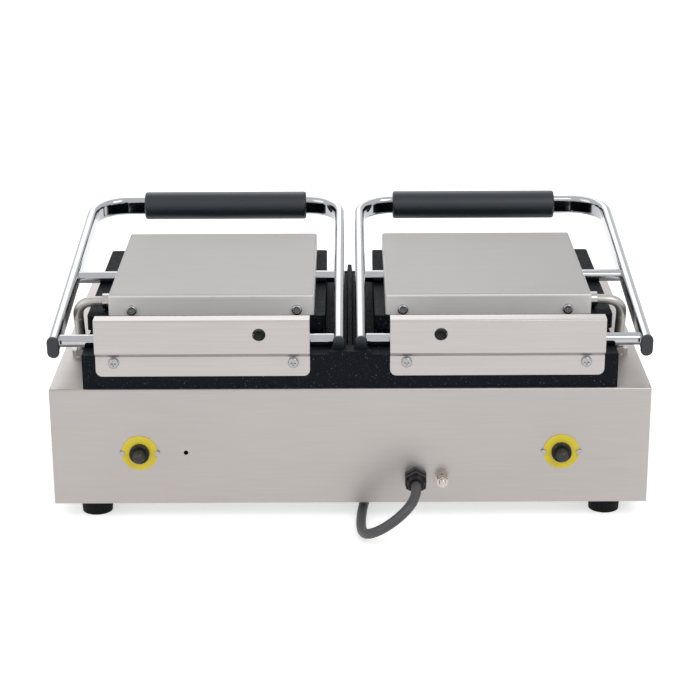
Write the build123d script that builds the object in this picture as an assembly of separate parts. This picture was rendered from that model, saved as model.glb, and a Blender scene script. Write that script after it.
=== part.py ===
from build123d import *

import math
import os

# Double contact grill, millimetres, +Z up, controls towards -Y and mains cord towards +Y.
# The origin is on the floor under the middle of the grill.
# A depth is counted forwards from the rear panel's outer face, and a level up from the base's top sheet.

# Casing
BASE_WIDTH = 566.0
BASE_DEPTH = 348.0
PANEL_HEIGHT = 116.0
FOOT_HEIGHT = 18.0
SHEET = 1.2
REAR_FOLD = 8.0
SHEET_BEND = 1.8
FRONT_CORNER = 3.0
FLAT_GAP = 0.2

# Feet
FOOT_RADIUS = 16.0
FOOT_INSET_X = 37.0
FOOT_INSET_DEPTH = 28.0
FOOT_SCREW_HEAD = 5.0
FOOT_SCREW_SHANK = 2.4
FOOT_RECESS = 8.0

# Lower cooking plate
PLATE_WIDTH = 502.0
PLATE_REAR = 3.0
PLATE_FRONT = 338.0
RIM_WIDTH = 5.0
RIM_LEVEL = 33.0
RIM_END = 320.0
RIM_ROUNDING = 12.0
FLANGE_FRONT = 30.0
FLANGE_THICKNESS = 7.0
DECK_BOTTOM = 8.0
DECK_TOP = 14.5
RIB_LEVEL = 20.0
RIB_PITCH = 5.6
RIB_ROOT = 3.8
RIB_TIP = 2.0
RIB_END = 322.0
DIVIDER_LEVEL = 24.0
DIVIDER_WIDTH = 4.0
GUTTER_LIP = 12.0
GUTTER_FLOOR = 7.0
SPOUT_WIDTH = 20.0
CENTRE_BLOCK_WIDTH = 40.0
CENTRE_BLOCK_LEVEL = 36.0
CENTRE_BLOCK_FRONT = 8.5

# Swinging frame
SHAFT_RADIUS = 6.0
SHAFT_DEPTH = 30.0
SHAFT_LEVEL = 38.5
BAR_DEPTH = 370.0
BAR_LEVEL = 78.0
ROD_REACH = 148.0
ARM_HEIGHT = 20.0
ARM_WIDTH = 10.0
ARM_WALL = 1.5
ARM_TAIL = 13.5
ARM_BEND = 36.0
INNER_ARM_X = 10.5
OUTER_ARM_X = 279.0
CAP_THICKNESS = 3.0
CAP_PLUG = 8.0
CAP_OVERHANG = 0.75
GRIP_RADIUS = 15.0
GRIP_LENGTH = 177.0
GRIP_X = 136.0
GRIP_EDGE = 2.5
RUNNING = 0.06
CLEARANCE = 0.3

# Upper cooking plate and its cover
UPPER_INNER_X = 24.0
UPPER_OUTER_X = 253.0
UPPER_REAR = 68.0
UPPER_FRONT = 290.0
UPPER_RING_BOTTOM = 36.0
UPPER_RING_TOP = 50.0
UPPER_RING_WIDTH = 15.0
BLOCK_STEP_X = 8.0
BLOCK_STEP_DEPTH = 4.0
UPPER_DECK = 8.0
COVER_INNER_X = 34.5
COVER_OUTER_X = 232.5
COVER_REAR = 70.0
COVER_FRONT = 285.0
COVER_TOP = 70.5
COVER_SHEET = 1.0
COVER_ROUNDING = 2.5
COVER_SCREW_X = (51.0, 210.0)
COVER_SCREW_LEVEL = 55.5
BRACKET_X = (46.0, 224.0)
BRACKET_WIDTH = 8.0
BRACKET_LENGTH = 28.0
BRACKET_TOP = 66.0

# Rear hinge covers
HINGE_COVER_X = (37.5, 238.0)
HINGE_COVER_REAR = -3.5
HINGE_COVER_TOP = 69.0
HINGE_COVER_FLANGE = 15.0
HINGE_COVER_STEP = 34.0
HINGE_COVER_LIP = 12.5
HINGE_COVER_SHEET = 1.0
HINGE_SCREW_X = (53.0, 221.0)
HINGE_SCREW_LEVEL = 26.0
ACCESS_X = 84.5
ACCESS_LEVEL = 55.0
ACCESS_RADIUS = 6.2

# Bearings and springs on the shaft
BEARING_X = (62.0, 214.0)
BEARING_WIDTH = 12.0
BEARING_HEIGHT = 14.0
SPRING_LENGTH = 84.0
SPRING_OUTER = 10.5
SPRING_WIRE = 3.0
ANCHOR_RADIUS = 12.0
ANCHOR_WIDTH = 13.0
ANCHOR_BOLT_REACH = 27.0

# Screws
PAN_HEAD = 5.0
PAN_HEIGHT = 3.0
SCREW_SHANK = 2.4
SCREW_HOLE = 2.5
SCREW_GRIP = 10.0

# Conduit
HOSE_RADIUS = 5.0
HOSE_X = 264.5
HOSE_DEPTH = 101.0
HOSE_TOP_DEPTH = 88.0
HOSE_TOP_LEVEL = 59.0
HOSE_BEND = 17.0
HOSE_SWEEP = 40.0
HOSE_NUT = 9.0
HOSE_NUT_HEIGHT = 7.0
HOSE_FITTING = 7.5
HOSE_FITTING_LENGTH = 7.0

# Heating elements
HEATER_RADIUS = 3.5
LOWER_HEATER_X = (45.0, 210.0)
HEATER_REAR_MARGIN = 30.0
HEATER_FRONT_MARGIN = 32.0
UPPER_HEATER_X = (62.0, 208.0)
UPPER_HEATER_DEPTH = (92.0, 262.0)
CLAMP_X = (25.0, 232.0)
CLAMP_DEPTHS = (110.0, 240.0)
CLAMP_WIDTH = 16.0
CLAMP_POST = 7.0
CLAMP_THICKNESS = 2.5

# Cooling slots in the bottom plate
SLOT_COUNT = 7
SLOT_START = 105.0
SLOT_PITCH = 18.0
SLOT_HALF = 3.0
SLOT_DEPTH = (120.0, 190.0)

# Terminal block
TERMINAL_LENGTH = 50.0
TERMINAL_DEPTH = (45.0, 65.0)
TERMINAL_HEIGHT = 18.0
TERMINAL_FLOOR = 8.0
TERMINAL_WAYS = 5
TERMINAL_BORE = 2.5

# Front controls
CONTROL_LEVEL = -56.0
KNOB_X = 150.0
KNOB_RADIUS = 22.0
KNOB_DEPTH = 20.0
KNOB_SKIRT = 28.0
KNOB_SHAFT = 3.0
THERMOSTAT_SIZE = 40.0
THERMOSTAT_DEPTH = 32.0
ROCKER_INSET = 43.0
ROCKER_BODY = 24.0
ROCKER_SIZE = (15.0, 22.0)
ROCKER_BEZEL = (21.0, 30.0)
ROCKER_TILT = 8.0
LAMP_OFFSET = 35.0
LAMP_BODY = 14.0
LAMP_SPREAD = 13.0
LAMP_RADIUS = 5.0

# Reset buttons and rear fittings
RESET_X = 200.0
REAR_CONTROL_LEVEL = -64.0
LABEL_RADIUS = 17.2
LABEL_SCREW_OFFSET = 16.7
LABEL_THICKNESS = 0.8
COLLAR_RADIUS = 9.5
COLLAR_REACH = 6.0
NECK_RADIUS = 7.0
NECK_REACH = 2.5
BOOT_RADIUS = 6.3
BOOT_TIP = 4.8
BOOT_REACH = 17.0
BOOT_SEAT = 5.2
BOOT_STEM = 3.0
CUTOUT_RADIUS = 12.0
CUTOUT_LENGTH = 26.0
LABEL_SCREW = 1.6
VENT_X = 156.0
VENT_RADIUS = 2.2
BOND_X = -87.0
BOND_LEVEL = -90.0
BOND_RADIUS = 3.0
BOND_REACH = 18.0
BOND_NUT = 5.8

# Drip tray
TRAY_WIDTH = 150.0
TRAY_HEIGHT = 30.0
TRAY_FLOOR_HEIGHT = 18.0
TRAY_BACK = 150.0
TRAY_WALL = 1.2
TRAY_FRONT_OVERLAP = 6.0
TRAY_PULL = 14.0
RAIL_HEIGHT = 8.0
RAIL_WIDTH = 10.0

# Mains cord
CORD_RADIUS = 4.75
GLAND_X = -62.0
GLAND_LEVEL = -91.0
GLAND_FLATS = 20.0
GLAND_BASE = 6.0
GLAND_NUT = 13.0
GLAND_REACH = 19.0
LAYER_STEP = 10.0
TURN_PITCH = 10.0
COIL_OUTER = 59.0
COIL_CENTRE = (-150.0, 434.0)
LOWER_TURNS = 2.0
CLIMB_TURNS = 0.5
UPPER_TURNS = 1.75
COIL_LEAD = 9.5
APPROACH_RUN = 95.0
COIL_TAIL = 50.0
PLUG_LENGTH = 52.0
PLUG_WIDTH = 50.0
PIN_LENGTH = 17.7
PIN_SPACING = 22.2
EARTH_LENGTH = 22.7
PIN_DEPTH = 4.0

BASE_TOP = FOOT_HEIGHT + PANEL_HEIGHT
TRAY_FLOOR_LEVEL = TRAY_FLOOR_HEIGHT - PANEL_HEIGHT
HALF_WIDTH = BASE_WIDTH / 2
HALF_PLATE = PLATE_WIDTH / 2
LOWER_HEATER_DEPTH = (FLANGE_FRONT + HEATER_REAR_MARGIN, RIB_END - HEATER_FRONT_MARGIN)
ROCKER_X = HALF_WIDTH - ROCKER_INSET
LAMP_X = ROCKER_X - LAMP_OFFSET
# The mains fittings stand behind the rear panel and the grips in front of the casing.
REAR_REACH = BOND_REACH
FRONT_REACH = BAR_DEPTH + GRIP_RADIUS
REAR_Y = (FRONT_REACH - REAR_REACH) / 2
SLOPE = math.degrees(math.atan2(BAR_LEVEL - SHAFT_LEVEL, BAR_DEPTH - SHAFT_DEPTH))
BAR_REACH = math.hypot(BAR_LEVEL - SHAFT_LEVEL, BAR_DEPTH - SHAFT_DEPTH)
ROD_DEPTH = SHAFT_DEPTH + ROD_REACH * math.cos(math.radians(SLOPE))
ROD_LEVEL = SHAFT_LEVEL + ROD_REACH * math.sin(math.radians(SLOPE))
# The upper block comes down to just above the lower ribs.
UPPER_RIB_LEVEL = RIB_LEVEL + CLEARANCE
UPPER_DECK_BOTTOM = UPPER_RIB_LEVEL + RIB_LEVEL - DECK_TOP
UPPER_DECK_TOP = UPPER_DECK_BOTTOM + UPPER_DECK
SIDES = {"left": -1, "right": 1}


def block(x, depth, level):
    """Box between two X values, two depths and two levels."""
    size = (x[1] - x[0], depth[1] - depth[0], level[1] - level[0])
    centre = (sum(x) / 2, REAR_Y - sum(depth) / 2, BASE_TOP + sum(level) / 2)
    return Pos(*centre) * Box(*size)


def along_x(radius, x, depth, level):
    """Cylinder that runs across the grill."""
    centre = (sum(x) / 2, REAR_Y - depth, BASE_TOP + level)
    return Pos(*centre) * Rot(0, 90, 0) * Cylinder(radius, x[1] - x[0])


def along_depth(radius, x, depth, level):
    """Cylinder that runs from the rear to the front."""
    centre = (x, REAR_Y - sum(depth) / 2, BASE_TOP + level)
    return Pos(*centre) * Rot(90, 0, 0) * Cylinder(radius, depth[1] - depth[0])


def upright(radius, x, depth, level):
    """Cylinder that stands up."""
    centre = (x, REAR_Y - depth, BASE_TOP + sum(level) / 2)
    return Pos(*centre) * Cylinder(radius, level[1] - level[0])


def side_prism(face, x):
    """Prism across the grill on a face drawn in depths and levels."""
    plane = Plane(origin=(x[1], REAR_Y, BASE_TOP), x_dir=(0, -1, 0), z_dir=(-1, 0, 0))
    return extrude(plane * face, amount=x[1] - x[0])


def front_prism(face, depth):
    """Prism from the rear to the front on a face drawn in X and level."""
    plane = Plane(origin=(0, REAR_Y - depth[0], BASE_TOP), x_dir=(1, 0, 0), z_dir=(0, -1, 0))
    return extrude(plane * face, amount=depth[1] - depth[0])


def turned(points, x, level):
    """Solid of revolution about a rear to front axis, from pairs of radius and depth."""
    plane = Plane(origin=(x, REAR_Y, BASE_TOP + level), x_dir=(1, 0, 0), z_dir=(0, 0, 1))
    face = plane * make_face(Polyline(*[(radius, -depth) for radius, depth in points], close=True))
    return revolve(face, Axis((x, REAR_Y, BASE_TOP + level), (0, 1, 0)))


def hexagon(across_flats, x, depth, level):
    """Hexagonal nut about a rear to front axis."""
    face = RegularPolygon(across_flats / 2, 6, major_radius=False, rotation=90)
    return front_prism(Pos(x, level) * face, depth)


def on_side(part, side):
    """The part as built at +X, or its mirror image for the other side."""
    return part if side > 0 else part.mirror(Plane.YZ)


def in_frame(part):
    """Place a part drawn about the shaft, with -Y along the arms, on the sloping frame."""
    return Pos(0, REAR_Y - SHAFT_DEPTH, BASE_TOP + SHAFT_LEVEL) * Rot(-SLOPE, 0, 0) * part


def teeth(start, stop, root, tip):
    """Rib outline points from one X to the next, between a root level and a tip level."""
    count = int((stop - start) // RIB_PITCH)
    first = (start + stop - count * RIB_PITCH) / 2
    points = []
    for index in range(count):
        middle = first + (index + 0.5) * RIB_PITCH
        points += [
            (middle - RIB_ROOT / 2, root),
            (middle - RIB_TIP / 2, tip),
            (middle + RIB_TIP / 2, tip),
            (middle + RIB_ROOT / 2, root),
        ]
    return points


def pan_screw(x, face_depth, level, direction=1):
    """Pan head screw on a face, with its cross recess, driven forwards or backwards."""
    head = (face_depth - PAN_HEIGHT, face_depth) if direction > 0 else (face_depth, face_depth + PAN_HEIGHT)
    shank = (face_depth, face_depth + SCREW_GRIP) if direction > 0 else (face_depth - SCREW_GRIP, face_depth)
    screw = along_depth(PAN_HEAD, x, head, level)
    outer = head[0] if direction > 0 else head[1]
    rim = screw.faces().sort_by(Axis.Y)[-1 if direction > 0 else 0].edges()
    screw = fillet(rim, PAN_HEIGHT / 2)
    recess = (outer, outer + PAN_HEIGHT / 2) if direction > 0 else (outer - PAN_HEIGHT / 2, outer)
    half = PAN_HEAD / 2
    screw -= block((x - half, x + half), recess, (level - 0.6, level + 0.6))
    screw -= block((x - 0.6, x + 0.6), recess, (level - half, level + half))
    return screw + along_depth(SCREW_SHANK, x, shank, level)


def base_shell():
    """Folded casing: front, sides and the strips of top sheet around the lower plate."""
    inner = HALF_WIDTH - SHEET
    shell = block((-HALF_WIDTH, HALF_WIDTH), (SHEET, BASE_DEPTH), (-PANEL_HEIGHT, 0))
    front_edges = shell.edges().filter_by(Axis.Z).sort_by(Axis.Y)[:2]
    shell = fillet(front_edges, FRONT_CORNER)
    cavity = block((-inner, inner), (SHEET, BASE_DEPTH - SHEET), (-PANEL_HEIGHT, -SHEET))
    cavity_edges = cavity.edges().filter_by(Axis.Z).sort_by(Axis.Y)[:2]
    shell -= fillet(cavity_edges, FRONT_CORNER - SHEET)
    seat = HALF_PLATE - RIM_WIDTH - 2
    shell -= block((-seat, seat), (REAR_FOLD, PLATE_FRONT - RIM_WIDTH), (-SHEET, 0))
    # The rear panel's fold takes the place of the sheet's rear edge.
    shell -= block((-inner, inner), (SHEET, REAR_FOLD + FLAT_GAP), (-SHEET, 0))
    front = (BASE_DEPTH - SHEET, BASE_DEPTH)
    tray_top = TRAY_FLOOR_LEVEL + TRAY_HEIGHT + 1
    half_tray = TRAY_WIDTH / 2 + 1
    shell -= block((-half_tray, half_tray), front, (TRAY_FLOOR_LEVEL - 1, tray_top))
    for side in SIDES.values():
        shell -= along_depth(KNOB_SHAFT + 2, side * KNOB_X, front, CONTROL_LEVEL)
        half_x, half_z = ROCKER_SIZE[0] / 2 + 1, ROCKER_SIZE[1] / 2 + 1
        centre = side * ROCKER_X
        shell -= block(
            (centre - half_x, centre + half_x), front, (CONTROL_LEVEL - half_z, CONTROL_LEVEL + half_z)
        )
        for step in (-1, 1):
            shell -= along_depth(LAMP_RADIUS, side * LAMP_X, front, CONTROL_LEVEL + step * LAMP_SPREAD)
        top = (-SHEET, 0)
        shell -= upright(HOSE_RADIUS + FLAT_GAP, side * HOSE_X, HOSE_DEPTH, top)
    return [shell]


def rear_panel():
    """Back sheet with its folded top edge and the holes for the rear fittings."""
    half = SHEET / 2
    line = FilletPolyline((half, -PANEL_HEIGHT), (half, -half), (REAR_FOLD, -half), radius=SHEET_BEND)
    panel = side_prism(trace(line, line_width=SHEET), (-HALF_WIDTH, HALF_WIDTH))
    for side in SIDES.values():
        edge = sorted((side * (HALF_WIDTH - SHEET - FLAT_GAP), side * (HALF_WIDTH + 1)))
        panel -= block(edge, (SHEET, REAR_FOLD + 1), (-REAR_FOLD, 1))
        panel -= along_depth(NECK_RADIUS + FLAT_GAP, side * RESET_X, (0, SHEET), REAR_CONTROL_LEVEL)
        for step in (-1, 1):
            hole_x = side * RESET_X + step * LABEL_SCREW_OFFSET
            panel -= along_depth(LABEL_SCREW, hole_x, (0, SHEET), REAR_CONTROL_LEVEL)
    panel -= along_depth(VENT_RADIUS, VENT_X, (0, SHEET), REAR_CONTROL_LEVEL)
    panel -= along_depth(CORD_RADIUS + 2, GLAND_X, (0, SHEET), GLAND_LEVEL)
    panel -= along_depth(BOND_RADIUS, BOND_X, (0, SHEET), BOND_LEVEL)
    return [panel]


def bottom_plate():
    """Floor sheet between the casing's walls, with rows of cooling slots."""
    half = HALF_WIDTH - SHEET - FLAT_GAP
    level = (-PANEL_HEIGHT, -PANEL_HEIGHT + SHEET)
    plate = block((-half, half), (SHEET + FLAT_GAP, BASE_DEPTH - SHEET - FLAT_GAP), level)
    # The corners clear the casing's bent front corners.
    plate = chamfer(plate.edges().filter_by(Axis.Z).sort_by(Axis.Y)[:2], FRONT_CORNER)
    for side in SIDES.values():
        for index in range(SLOT_COUNT):
            middle = side * (SLOT_START + index * SLOT_PITCH)
            plate -= block((middle - SLOT_HALF, middle + SLOT_HALF), SLOT_DEPTH, level)
    for x, depth in foot_places():
        plate -= upright(SCREW_HOLE, x, depth, level)
    return [plate]


def foot_places():
    """X and depth of each foot's centre."""
    depths = (FOOT_INSET_DEPTH, BASE_DEPTH - FOOT_INSET_DEPTH)
    return [(side * (HALF_WIDTH - FOOT_INSET_X), depth) for side in SIDES.values() for depth in depths]


def rubber_feet():
    """Tapered rubber feet with a recess for the screw head."""
    floor = -PANEL_HEIGHT - FOOT_HEIGHT
    feet = []
    for x, depth in foot_places():
        base = Pos(x, REAR_Y - depth, BASE_TOP + floor)
        foot = base * extrude(Circle(FOOT_RADIUS - 1.5), amount=FOOT_HEIGHT, taper=-4.5)
        foot -= upright(FOOT_SCREW_HEAD + 1, x, depth, (floor, floor + FOOT_RECESS))
        foot -= upright(SCREW_HOLE, x, depth, (floor, -PANEL_HEIGHT))
        feet.append(foot)
    return feet


def foot_screws():
    """Screws up through the feet into the floor sheet."""
    recess_top = -PANEL_HEIGHT - FOOT_HEIGHT + FOOT_RECESS
    screws = []
    for x, depth in foot_places():
        screw = upright(FOOT_SCREW_HEAD, x, depth, (recess_top - PAN_HEIGHT, recess_top))
        screw += upright(FOOT_SCREW_SHANK, x, depth, (recess_top, -PANEL_HEIGHT + SHEET + 3))
        screws.append(screw)
    return screws


def lower_plate():
    """Cast plate: ribbed deck, side rims, rear hinge flange and front gutter."""
    skirt = HALF_PLATE - RIM_WIDTH
    points = [(-skirt, DECK_BOTTOM), (-skirt, DECK_TOP)]
    clear = INNER_ARM_X + ARM_WIDTH
    points += teeth(-skirt + 2, -clear, DECK_TOP, RIB_LEVEL)
    half_divider = DIVIDER_WIDTH / 2
    points += [
        (-half_divider - 1, DECK_TOP),
        (-half_divider, DIVIDER_LEVEL),
        (half_divider, DIVIDER_LEVEL),
        (half_divider + 1, DECK_TOP),
    ]
    points += teeth(clear, skirt - 2, DECK_TOP, RIB_LEVEL)
    points += [(skirt, DECK_TOP), (skirt, DECK_BOTTOM)]
    plate = front_prism(make_face(Polyline(*points, close=True)), (FLANGE_FRONT, RIB_END))
    across = (-HALF_PLATE, HALF_PLATE)
    hinge = block(across, (PLATE_REAR, FLANGE_FRONT), (0, RIM_LEVEL))
    hollow = (PLATE_REAR + RIM_WIDTH, FLANGE_FRONT - RIM_WIDTH)
    hinge -= block((-skirt, skirt), hollow, (0, RIM_LEVEL - FLANGE_THICKNESS))
    hinge -= block((-skirt, skirt), (hollow[1], FLANGE_FRONT), (0, DECK_BOTTOM))
    plate += hinge
    gutter = block(across, (RIB_END, PLATE_FRONT), (0, GUTTER_LIP))
    gutter -= block((-skirt, skirt), (RIB_END, PLATE_FRONT - 4), (GUTTER_FLOOR, GUTTER_LIP))
    gutter -= block((-skirt, skirt), (RIB_END, PLATE_FRONT - 4), (0, GUTTER_FLOOR - 4))
    half_spout = SPOUT_WIDTH / 2
    gutter -= block((-half_spout, half_spout), (RIB_END + 1, PLATE_FRONT - 5), (0, GUTTER_FLOOR))
    plate += gutter
    plate += block((-skirt, skirt), (RIB_END - 4, RIB_END), (GUTTER_FLOOR - 4, DECK_BOTTOM))
    for side in SIDES.values():
        edge = sorted((side * skirt, side * HALF_PLATE))
        rim = block(edge, (PLATE_REAR, RIM_END), (0, RIM_LEVEL))
        rim = fillet(rim.edges().filter_by(Axis.X).group_by(Axis.Z)[-1].sort_by(Axis.Y)[0], RIM_ROUNDING)
        plate += rim + block(edge, (RIM_END - RIM_ROUNDING, PLATE_FRONT), (0, GUTTER_LIP))
        slot = sorted((side * (INNER_ARM_X - 7), side * (INNER_ARM_X + 7)))
        plate -= block(slot, (CENTRE_BLOCK_FRONT, FLANGE_FRONT + 1), (GUTTER_LIP, RIM_LEVEL))
        groove = sorted((side * INNER_ARM_X, side * (HALF_PLATE + 1)))
        plate -= along_x(SHAFT_RADIUS + CLEARANCE, groove, SHAFT_DEPTH, SHAFT_LEVEL)
        spring_start = ACCESS_X + ANCHOR_WIDTH / 2
        pocket = sorted((side * spring_start, side * (spring_start + SPRING_LENGTH)))
        plate -= along_x(SPRING_OUTER + CLEARANCE, pocket, SHAFT_DEPTH, SHAFT_LEVEL)
        for x in HINGE_SCREW_X:
            hole = (PLATE_REAR, PLATE_REAR + SCREW_GRIP)
            plate -= along_depth(SCREW_HOLE, side * x, hole, HINGE_SCREW_LEVEL)
    half_centre = CENTRE_BLOCK_WIDTH / 2
    raised = block(
        (-half_centre, half_centre), (PLATE_REAR, CENTRE_BLOCK_FRONT), (RIM_LEVEL, CENTRE_BLOCK_LEVEL)
    )
    rounding = (CENTRE_BLOCK_LEVEL - RIM_LEVEL) / 2
    plate += fillet(raised.edges().filter_by(Axis.Y).group_by(Axis.Z)[-1], rounding)
    return [plate]


def element_path(x, depth, level):
    """Meandering centre line of a tubular heater, with its two ends at the rear."""
    lanes = 4
    step = (x[1] - x[0]) / (lanes - 1)
    points = []
    for lane in range(lanes):
        lane_x = x[0] + lane * step
        ends = depth if lane % 2 == 0 else (depth[1], depth[0])
        points += [(lane_x, REAR_Y - end, BASE_TOP + level) for end in ends]
    return FilletPolyline(*points, radius=step / 2 - 0.5)


def tube_on(line, radius):
    """Round bar swept along a line."""
    return sweep(Plane(origin=line @ 0, z_dir=line % 0) * Circle(radius), path=line)


def lower_elements():
    """Tubular heaters under the lower plate, with the straps that clamp them to it."""
    level = DECK_BOTTOM - HEATER_RADIUS - FLAT_GAP
    shapes = []
    for side in SIDES.values():
        heater = tube_on(element_path(LOWER_HEATER_X, LOWER_HEATER_DEPTH, level), HEATER_RADIUS)
        shapes.append(on_side(heater, side))
    return shapes


def element_clamps():
    """Flat straps across the lower heaters, with their posts up to the plate."""
    low = DECK_BOTTOM - 2 * HEATER_RADIUS - 2 * FLAT_GAP
    inner, outer = CLAMP_X
    shapes = []
    for side in SIDES.values():
        for depth in CLAMP_DEPTHS:
            width = (depth - CLAMP_WIDTH / 2, depth + CLAMP_WIDTH / 2)
            strap = block(CLAMP_X, width, (low - CLAMP_THICKNESS, low))
            strap += block((inner, inner + CLAMP_POST), width, (low, DECK_BOTTOM))
            strap += block((outer - CLAMP_POST, outer), width, (low, DECK_BOTTOM))
            shapes.append(on_side(strap, side))
    return shapes


def both_sides(build):
    """One node's solids on both sides, from the function that builds one side."""
    return [shape for side in SIDES.values() for shape in build(side)]


def hinge_bearings(side):
    """Bearing blocks on the rear flange that carry one hinge shaft."""
    blocks = []
    for x in BEARING_X:
        edge = (x - BEARING_WIDTH / 2, x + BEARING_WIDTH / 2)
        bearing = block(
            edge, (PLATE_REAR + 12, SHAFT_DEPTH + 14), (RIM_LEVEL, RIM_LEVEL + BEARING_HEIGHT)
        )
        bearing = fillet(bearing.edges().filter_by(Axis.X).group_by(Axis.Z)[-1], 5)
        bearing -= along_x(SHAFT_RADIUS + RUNNING, edge, SHAFT_DEPTH, SHAFT_LEVEL)
        blocks.append(on_side(bearing, side))
    return blocks


def torsion_spring(side):
    """Balance spring around the shaft, as the closed sleeve that its turns fill."""
    start = ACCESS_X + ANCHOR_WIDTH / 2
    reach = (start, start + SPRING_LENGTH)
    sleeve = along_x(SPRING_OUTER, reach, SHAFT_DEPTH, SHAFT_LEVEL)
    sleeve -= along_x(SPRING_OUTER - SPRING_WIRE, reach, SHAFT_DEPTH, SHAFT_LEVEL)
    return [on_side(sleeve, side)]


def spring_anchor(side):
    """Clamp that holds the spring's fixed end on the flange, with its adjusting bolt."""
    edge = (ACCESS_X - ANCHOR_WIDTH / 2, ACCESS_X + ANCHOR_WIDTH / 2)
    ring = along_x(ANCHOR_RADIUS, edge, SHAFT_DEPTH, SHAFT_LEVEL)
    ring += block(edge, (SHAFT_DEPTH - ANCHOR_RADIUS, SHAFT_DEPTH), (RIM_LEVEL, SHAFT_LEVEL))
    ring -= block(edge, (0, SHAFT_DEPTH + ANCHOR_RADIUS), (0, RIM_LEVEL))
    rise = math.degrees(math.atan2(ACCESS_LEVEL - SHAFT_LEVEL, SHAFT_DEPTH - HINGE_COVER_REAR))
    bolt = Pos(0, 0, ANCHOR_BOLT_REACH / 2) * Cylinder(3.0, ANCHOR_BOLT_REACH)
    head = Pos(0, 0, ANCHOR_BOLT_REACH - 2) * Cylinder(5.0, 4.0)
    aim = Pos(ACCESS_X, REAR_Y - SHAFT_DEPTH, BASE_TOP + SHAFT_LEVEL) * Rot(rise - 90, 0, 0)
    ring += aim * (bolt + head)
    ring -= along_x(SHAFT_RADIUS + RUNNING, edge, SHAFT_DEPTH, SHAFT_LEVEL)
    return [on_side(ring, side)]


def rear_cover(side):
    """Folded sheet over the springs: top flange, main face, joggle and screwed lip."""
    half = HINGE_COVER_SHEET / 2
    face = HINGE_COVER_REAR + half
    lip = PLATE_REAR - half
    top = HINGE_COVER_TOP - half
    line = FilletPolyline(
        (HINGE_COVER_REAR + HINGE_COVER_FLANGE, top),
        (face, top),
        (face, HINGE_COVER_STEP + 2.5),
        (lip, HINGE_COVER_STEP - 2),
        (lip, HINGE_COVER_LIP),
        radius=1.4,
    )
    cover = side_prism(trace(line, line_width=HINGE_COVER_SHEET), HINGE_COVER_X)
    for x in HINGE_COVER_X:
        inward = HINGE_COVER_SHEET if x == HINGE_COVER_X[0] else -HINGE_COVER_SHEET
        cheek = block(
            sorted((x, x + inward)),
            (face, HINGE_COVER_REAR + HINGE_COVER_FLANGE),
            (HINGE_COVER_STEP + 2.5, top),
        )
        cover += cheek
    corner = 6.0
    low = (HINGE_COVER_LIP, HINGE_COVER_LIP + corner)
    for x, inner in ((HINGE_COVER_X[0], 1), (HINGE_COVER_X[1], -1)):
        trim = block(sorted((x, x + inner * corner)), (PLATE_REAR - 2, PLATE_REAR + 1), low)
        trim -= along_depth(
            corner, x + inner * corner, (PLATE_REAR - 2, PLATE_REAR + 1), HINGE_COVER_LIP + corner
        )
        cover -= trim
    cover -= along_depth(ACCESS_RADIUS, ACCESS_X, (HINGE_COVER_REAR - 1, PLATE_REAR), ACCESS_LEVEL)
    for x in HINGE_SCREW_X:
        cover -= along_depth(SCREW_HOLE, x, (PLATE_REAR - 2, PLATE_REAR), HINGE_SCREW_LEVEL)
    return [on_side(cover, side)]


def rear_cover_screws():
    """Pan head screws that hold the rear covers to the casting."""
    face = PLATE_REAR - HINGE_COVER_SHEET
    return [
        pan_screw(side * x, face, HINGE_SCREW_LEVEL) for side in SIDES.values() for x in HINGE_SCREW_X
    ]


def handle_tube(side):
    """Flat-oval tube bent into a U: outer arm, cross bar and inner arm."""
    line = FilletPolyline(
        (OUTER_ARM_X, ARM_TAIL, 0),
        (OUTER_ARM_X, -BAR_REACH, 0),
        (INNER_ARM_X, -BAR_REACH, 0),
        (INNER_ARM_X, ARM_TAIL, 0),
        radius=ARM_BEND,
    )
    section = SlotOverall(ARM_HEIGHT, ARM_WIDTH) - SlotOverall(
        ARM_HEIGHT - 2 * ARM_WALL, ARM_WIDTH - 2 * ARM_WALL
    )
    start = Plane(origin=(OUTER_ARM_X, ARM_TAIL, 0), x_dir=(0, 0, 1), z_dir=(0, -1, 0))
    tube = sweep(start * section, path=line)
    return [on_side(in_frame(tube), side)]


def handle_grip(side):
    """Black sleeve on the cross bar."""
    grip = Rot(0, 90, 0) * Cylinder(GRIP_RADIUS, GRIP_LENGTH)
    grip = fillet(grip.edges().filter_by(GeomType.CIRCLE), GRIP_EDGE)
    bore = SlotOverall(ARM_HEIGHT + FLAT_GAP, ARM_WIDTH + FLAT_GAP)
    start = Plane(origin=(-GRIP_LENGTH / 2, 0, 0), x_dir=(0, 0, 1), z_dir=(1, 0, 0))
    grip -= extrude(start * bore, amount=GRIP_LENGTH)
    grip = Pos(GRIP_X, -BAR_REACH, 0) * grip
    return [on_side(in_frame(grip), side)]


def handle_end_caps(side):
    """Plastic caps pushed into the rear ends of the arms."""
    caps = []
    for x in (INNER_ARM_X, OUTER_ARM_X):
        start = Plane(origin=(x, ARM_TAIL, 0), x_dir=(0, 0, 1), z_dir=(0, 1, 0))
        disc = SlotOverall(ARM_HEIGHT + 2 * CAP_OVERHANG, ARM_WIDTH + 2 * CAP_OVERHANG)
        cap = extrude(start * disc, amount=CAP_THICKNESS)
        cap = fillet(cap.faces().sort_by(Axis.Y)[-1].edges(), 1.2)
        inner = 2 * ARM_WALL + FLAT_GAP
        stopper = extrude(start * SlotOverall(ARM_HEIGHT - inner, ARM_WIDTH - inner), amount=-CAP_PLUG)
        caps.append(on_side(in_frame(cap + stopper), side))
    return caps


def cross_shaft(side, reach):
    """Chrome bar welded between the two arms, at a distance along them from the hinge."""
    edge = (INNER_ARM_X + ARM_WIDTH / 2, OUTER_ARM_X - ARM_WIDTH / 2)
    bar = Rot(0, 90, 0) * Cylinder(SHAFT_RADIUS, edge[1] - edge[0])
    return [on_side(in_frame(Pos(sum(edge) / 2, -reach, 0) * bar), side)]


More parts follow.
